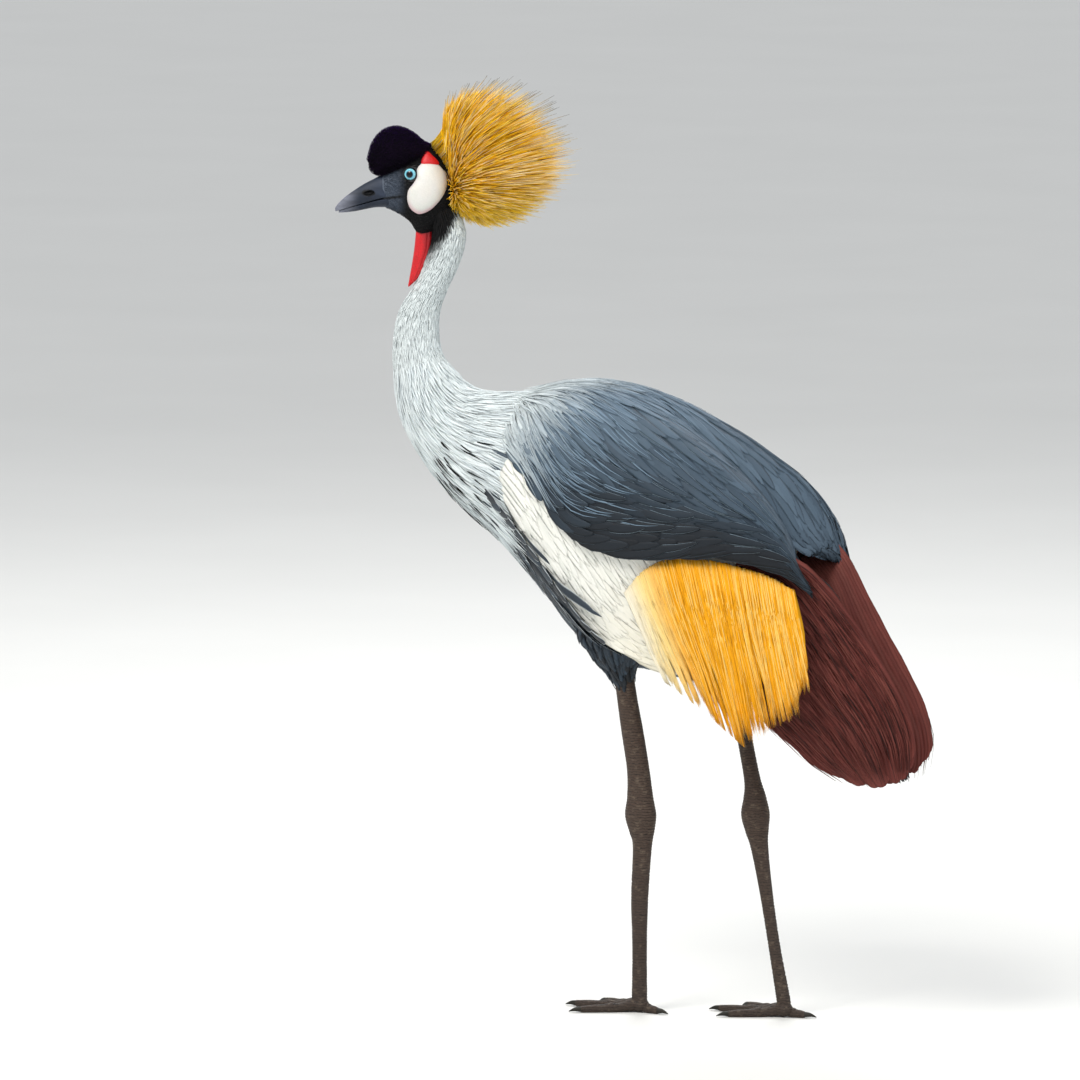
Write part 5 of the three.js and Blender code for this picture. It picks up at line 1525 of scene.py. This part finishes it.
# Legs and feet with raised scutes.
def scute_rings(table, count, sides, pitch):
    limb = limb_surface(table)
    u_values = np.linspace(0, len(table) - 1, count)
    rings = rings_of(limb.place, u_values, sides)
    centre = rings.mean(1, keepdims=True)
    length = np.concatenate([[0], np.cumsum(np.linalg.norm(np.diff(centre[:, 0], axis=0), axis=-1))])
    angle = np.arange(sides) * 2 * math.pi / sides
    front = np.abs(np.cos(angle))
    phase = length[:, None] / pitch + 0.5 * (np.cos(angle) < 0) + 0.06 * np.cos(3 * angle)
    ridge = (np.abs(np.sin(math.pi * phase)) ** 0.6 - 0.5) * 0.55 * smoothstep(0.1, 0.7, front) * 1.4
    return rings + unit(rings - centre) * ridge[..., None]


def toe_table(turn, length, side, foot_x, foot_y, shape):
    yaw = math.radians(180 - turn * side)
    far = shape[:, 0] * length
    x, y = foot_x + math.cos(yaw) * far, foot_y + math.sin(yaw) * far
    return np.stack([x, y, shape[:, 1], shape[:, 2]], -1), yaw


def toe_rings(table, yaw, count, sides, pitch=0.0, flat=0.0):
    rows = along(table, np.linspace(0, len(table) - 1, count))
    angle = np.arange(sides) * 2 * math.pi / sides
    across = np.array([-math.sin(yaw), math.cos(yaw), 0.0])
    reach = np.linalg.norm(rows[:, :2] - rows[0, :2], axis=-1)
    radius = rows[:, 3][:, None] * np.ones(sides)
    if pitch:
        ridge = np.abs(np.sin(math.pi * reach / pitch))[:, None] ** 0.6 * smoothstep(0, 0.5, np.cos(angle))
        radius = radius + 0.45 * (ridge - 0.5)
    rings = rows[:, None, :3] + across * (radius * np.sin(angle))[..., None]
    rings[..., 2] += radius * np.cos(angle)
    rings[..., 2] = np.maximum(rings[..., 2], flat)
    return rings


def leg_colour(points):
    return mix(LEG_BROWN, LEG_DARK, smoothstep(250, 60, points[:, 2])[:, None] * 0.5)


def make_legs():
    for word, side in SIDES:
        table = LEGS[word]
        leg = tube_object("leg_skin_" + word, scute_rings(table, 420, 40, SCUTE))
        foot_x, foot_y = table[-1, :2]
        parts = [tube_object("hub", ellipsoid(HUB_RADII, 32, 24) + np.array([foot_x, foot_y, HUB_HEIGHT]))]
        for name, (turn, length) in TOES.items():
            rows, yaw = toe_table(turn, length, side, foot_x, foot_y, TOE_SHAPE)
            parts.append(tube_object("toe", toe_rings(rows, yaw, 90, 28, 2.4, 0.2)))
            claw = CLAW_SHAPE * [CLAW_LENGTH / length, 1, 1] + [1, 0, 0]
            rows, yaw = toe_table(turn, length, side, foot_x, foot_y, claw)
            nail = tube_object("nail_%s_%s" % (word, name), toe_rings(rows, yaw, 40, 20, 0.0, 0.2),
                               lambda points: ink("26241f"))
            material = horn_material("nail_%s_%s" % (word, name))
            finish_piece(nail, material, "claw_horn", "claw_%s_%s" % (word, name))
        boolean(leg, parts)
        paint_piece(leg, leg_colour)
        nodes = [node + word for node in ("shank_", "tarsus_", "foot_")]
        finish_piece(leg, leg_material("leg_" + word), "leg_skin", *nodes)


# Camera, light and floor. The way from the bird to a camera or lamp.
def way_to(azimuth, elevation):
    a, e = math.radians(azimuth), math.radians(elevation)
    return np.array([math.sin(a) * math.cos(e), -math.cos(a) * math.cos(e), math.sin(e)])


def make_camera():
    azimuth, elevation = math.radians(AZIMUTH), math.radians(ELEVATION)
    right = (PHOTO_SIZE / 2 - ORIGIN_PIXEL[0]) * PIXEL
    up = (ORIGIN_PIXEL[1] - PHOTO_SIZE / 2) * PIXEL
    aim = np.array([right * math.cos(azimuth), right * math.sin(azimuth), up / math.cos(elevation)])
    aim = (aim + DRAWN_SHIFT) * MM
    camera = bpy.data.cameras.new("camera")
    camera.sensor_width = SENSOR
    camera.lens = SENSOR * DISTANCE / (PHOTO_SIZE * PIXEL * MM)
    camera.clip_end = 200
    holder = bpy.data.objects.new("camera", camera)
    bpy.context.scene.collection.objects.link(holder)
    holder.location = aim + way_to(AZIMUTH, ELEVATION) * DISTANCE
    holder.rotation_euler = (math.pi / 2 - elevation, 0, azimuth)
    bpy.context.scene.camera = holder


# Lamps: azimuth, elevation, distance, size, power, tint. They look at the bird's middle.
LAMPS = (
    ("key", -14, 50, 3.4, 1.6, 90, (1.0, 0.97, 0.92)),
    ("fill", 78, 22, 3.8, 2.4, 30, (0.95, 0.98, 1.0)),
    ("rim", 205, 42, 3.4, 1.8, 55, (1, 1, 1)),
)
LAMP_AIM = 0.55
SKY = (0.95, 0.97, 1.0, 1)
SKY_STRENGTH = 0.74
FLOOR_REACH = 40.0


def area_light(name, azimuth, elevation, distance, size, power, tint):
    lamp = bpy.data.lights.new(name, "AREA")
    lamp.shape = "DISK"
    lamp.size = size
    lamp.energy = power
    lamp.color = tint
    holder = bpy.data.objects.new(name, lamp)
    bpy.context.scene.collection.objects.link(holder)
    holder.location = np.array([0, 0, LAMP_AIM]) + way_to(azimuth, elevation) * distance
    holder.rotation_euler = (math.pi / 2 - math.radians(elevation), 0, math.radians(azimuth))


def make_stage():
    bpy.context.scene.view_settings.view_transform = "Standard"
    for lamp in LAMPS:
        area_light(*lamp)
    world = bpy.data.worlds.new("studio")
    bpy.context.scene.world = world
    world.use_nodes = True
    background = world.node_tree.nodes["Background"]
    background.inputs["Color"].default_value = SKY
    background.inputs["Strength"].default_value = SKY_STRENGTH
    reach = FLOOR_REACH
    mesh = bpy.data.meshes.new("floor")
    corners = [(-reach, -reach, 0), (reach, -reach, 0), (reach, reach, 0), (-reach, reach, 0)]
    mesh.from_pydata(corners, [], [(0, 1, 2, 3)])
    floor = bpy.data.objects.new("floor", mesh)
    bpy.context.scene.collection.objects.link(floor)
    s = Shader("floor", 0.75)
    grain = s.noise(s.point(), 3.0, 3.0)
    mesh.materials.append(s.finish(s.mix(ink("dededb"), ink("e4e4e1"), grain)))


make_camera()
make_stage()
make_skin()
make_neck()
make_hackles()
make_breast()
make_thighs()
make_cape()
make_coverts()
make_plumes()
make_secondaries()
make_primaries()
make_tail()
make_crest()
make_face()
make_cap()
make_cheeks()
make_eyes()
make_bill()
make_throat_lobe()
make_legs()
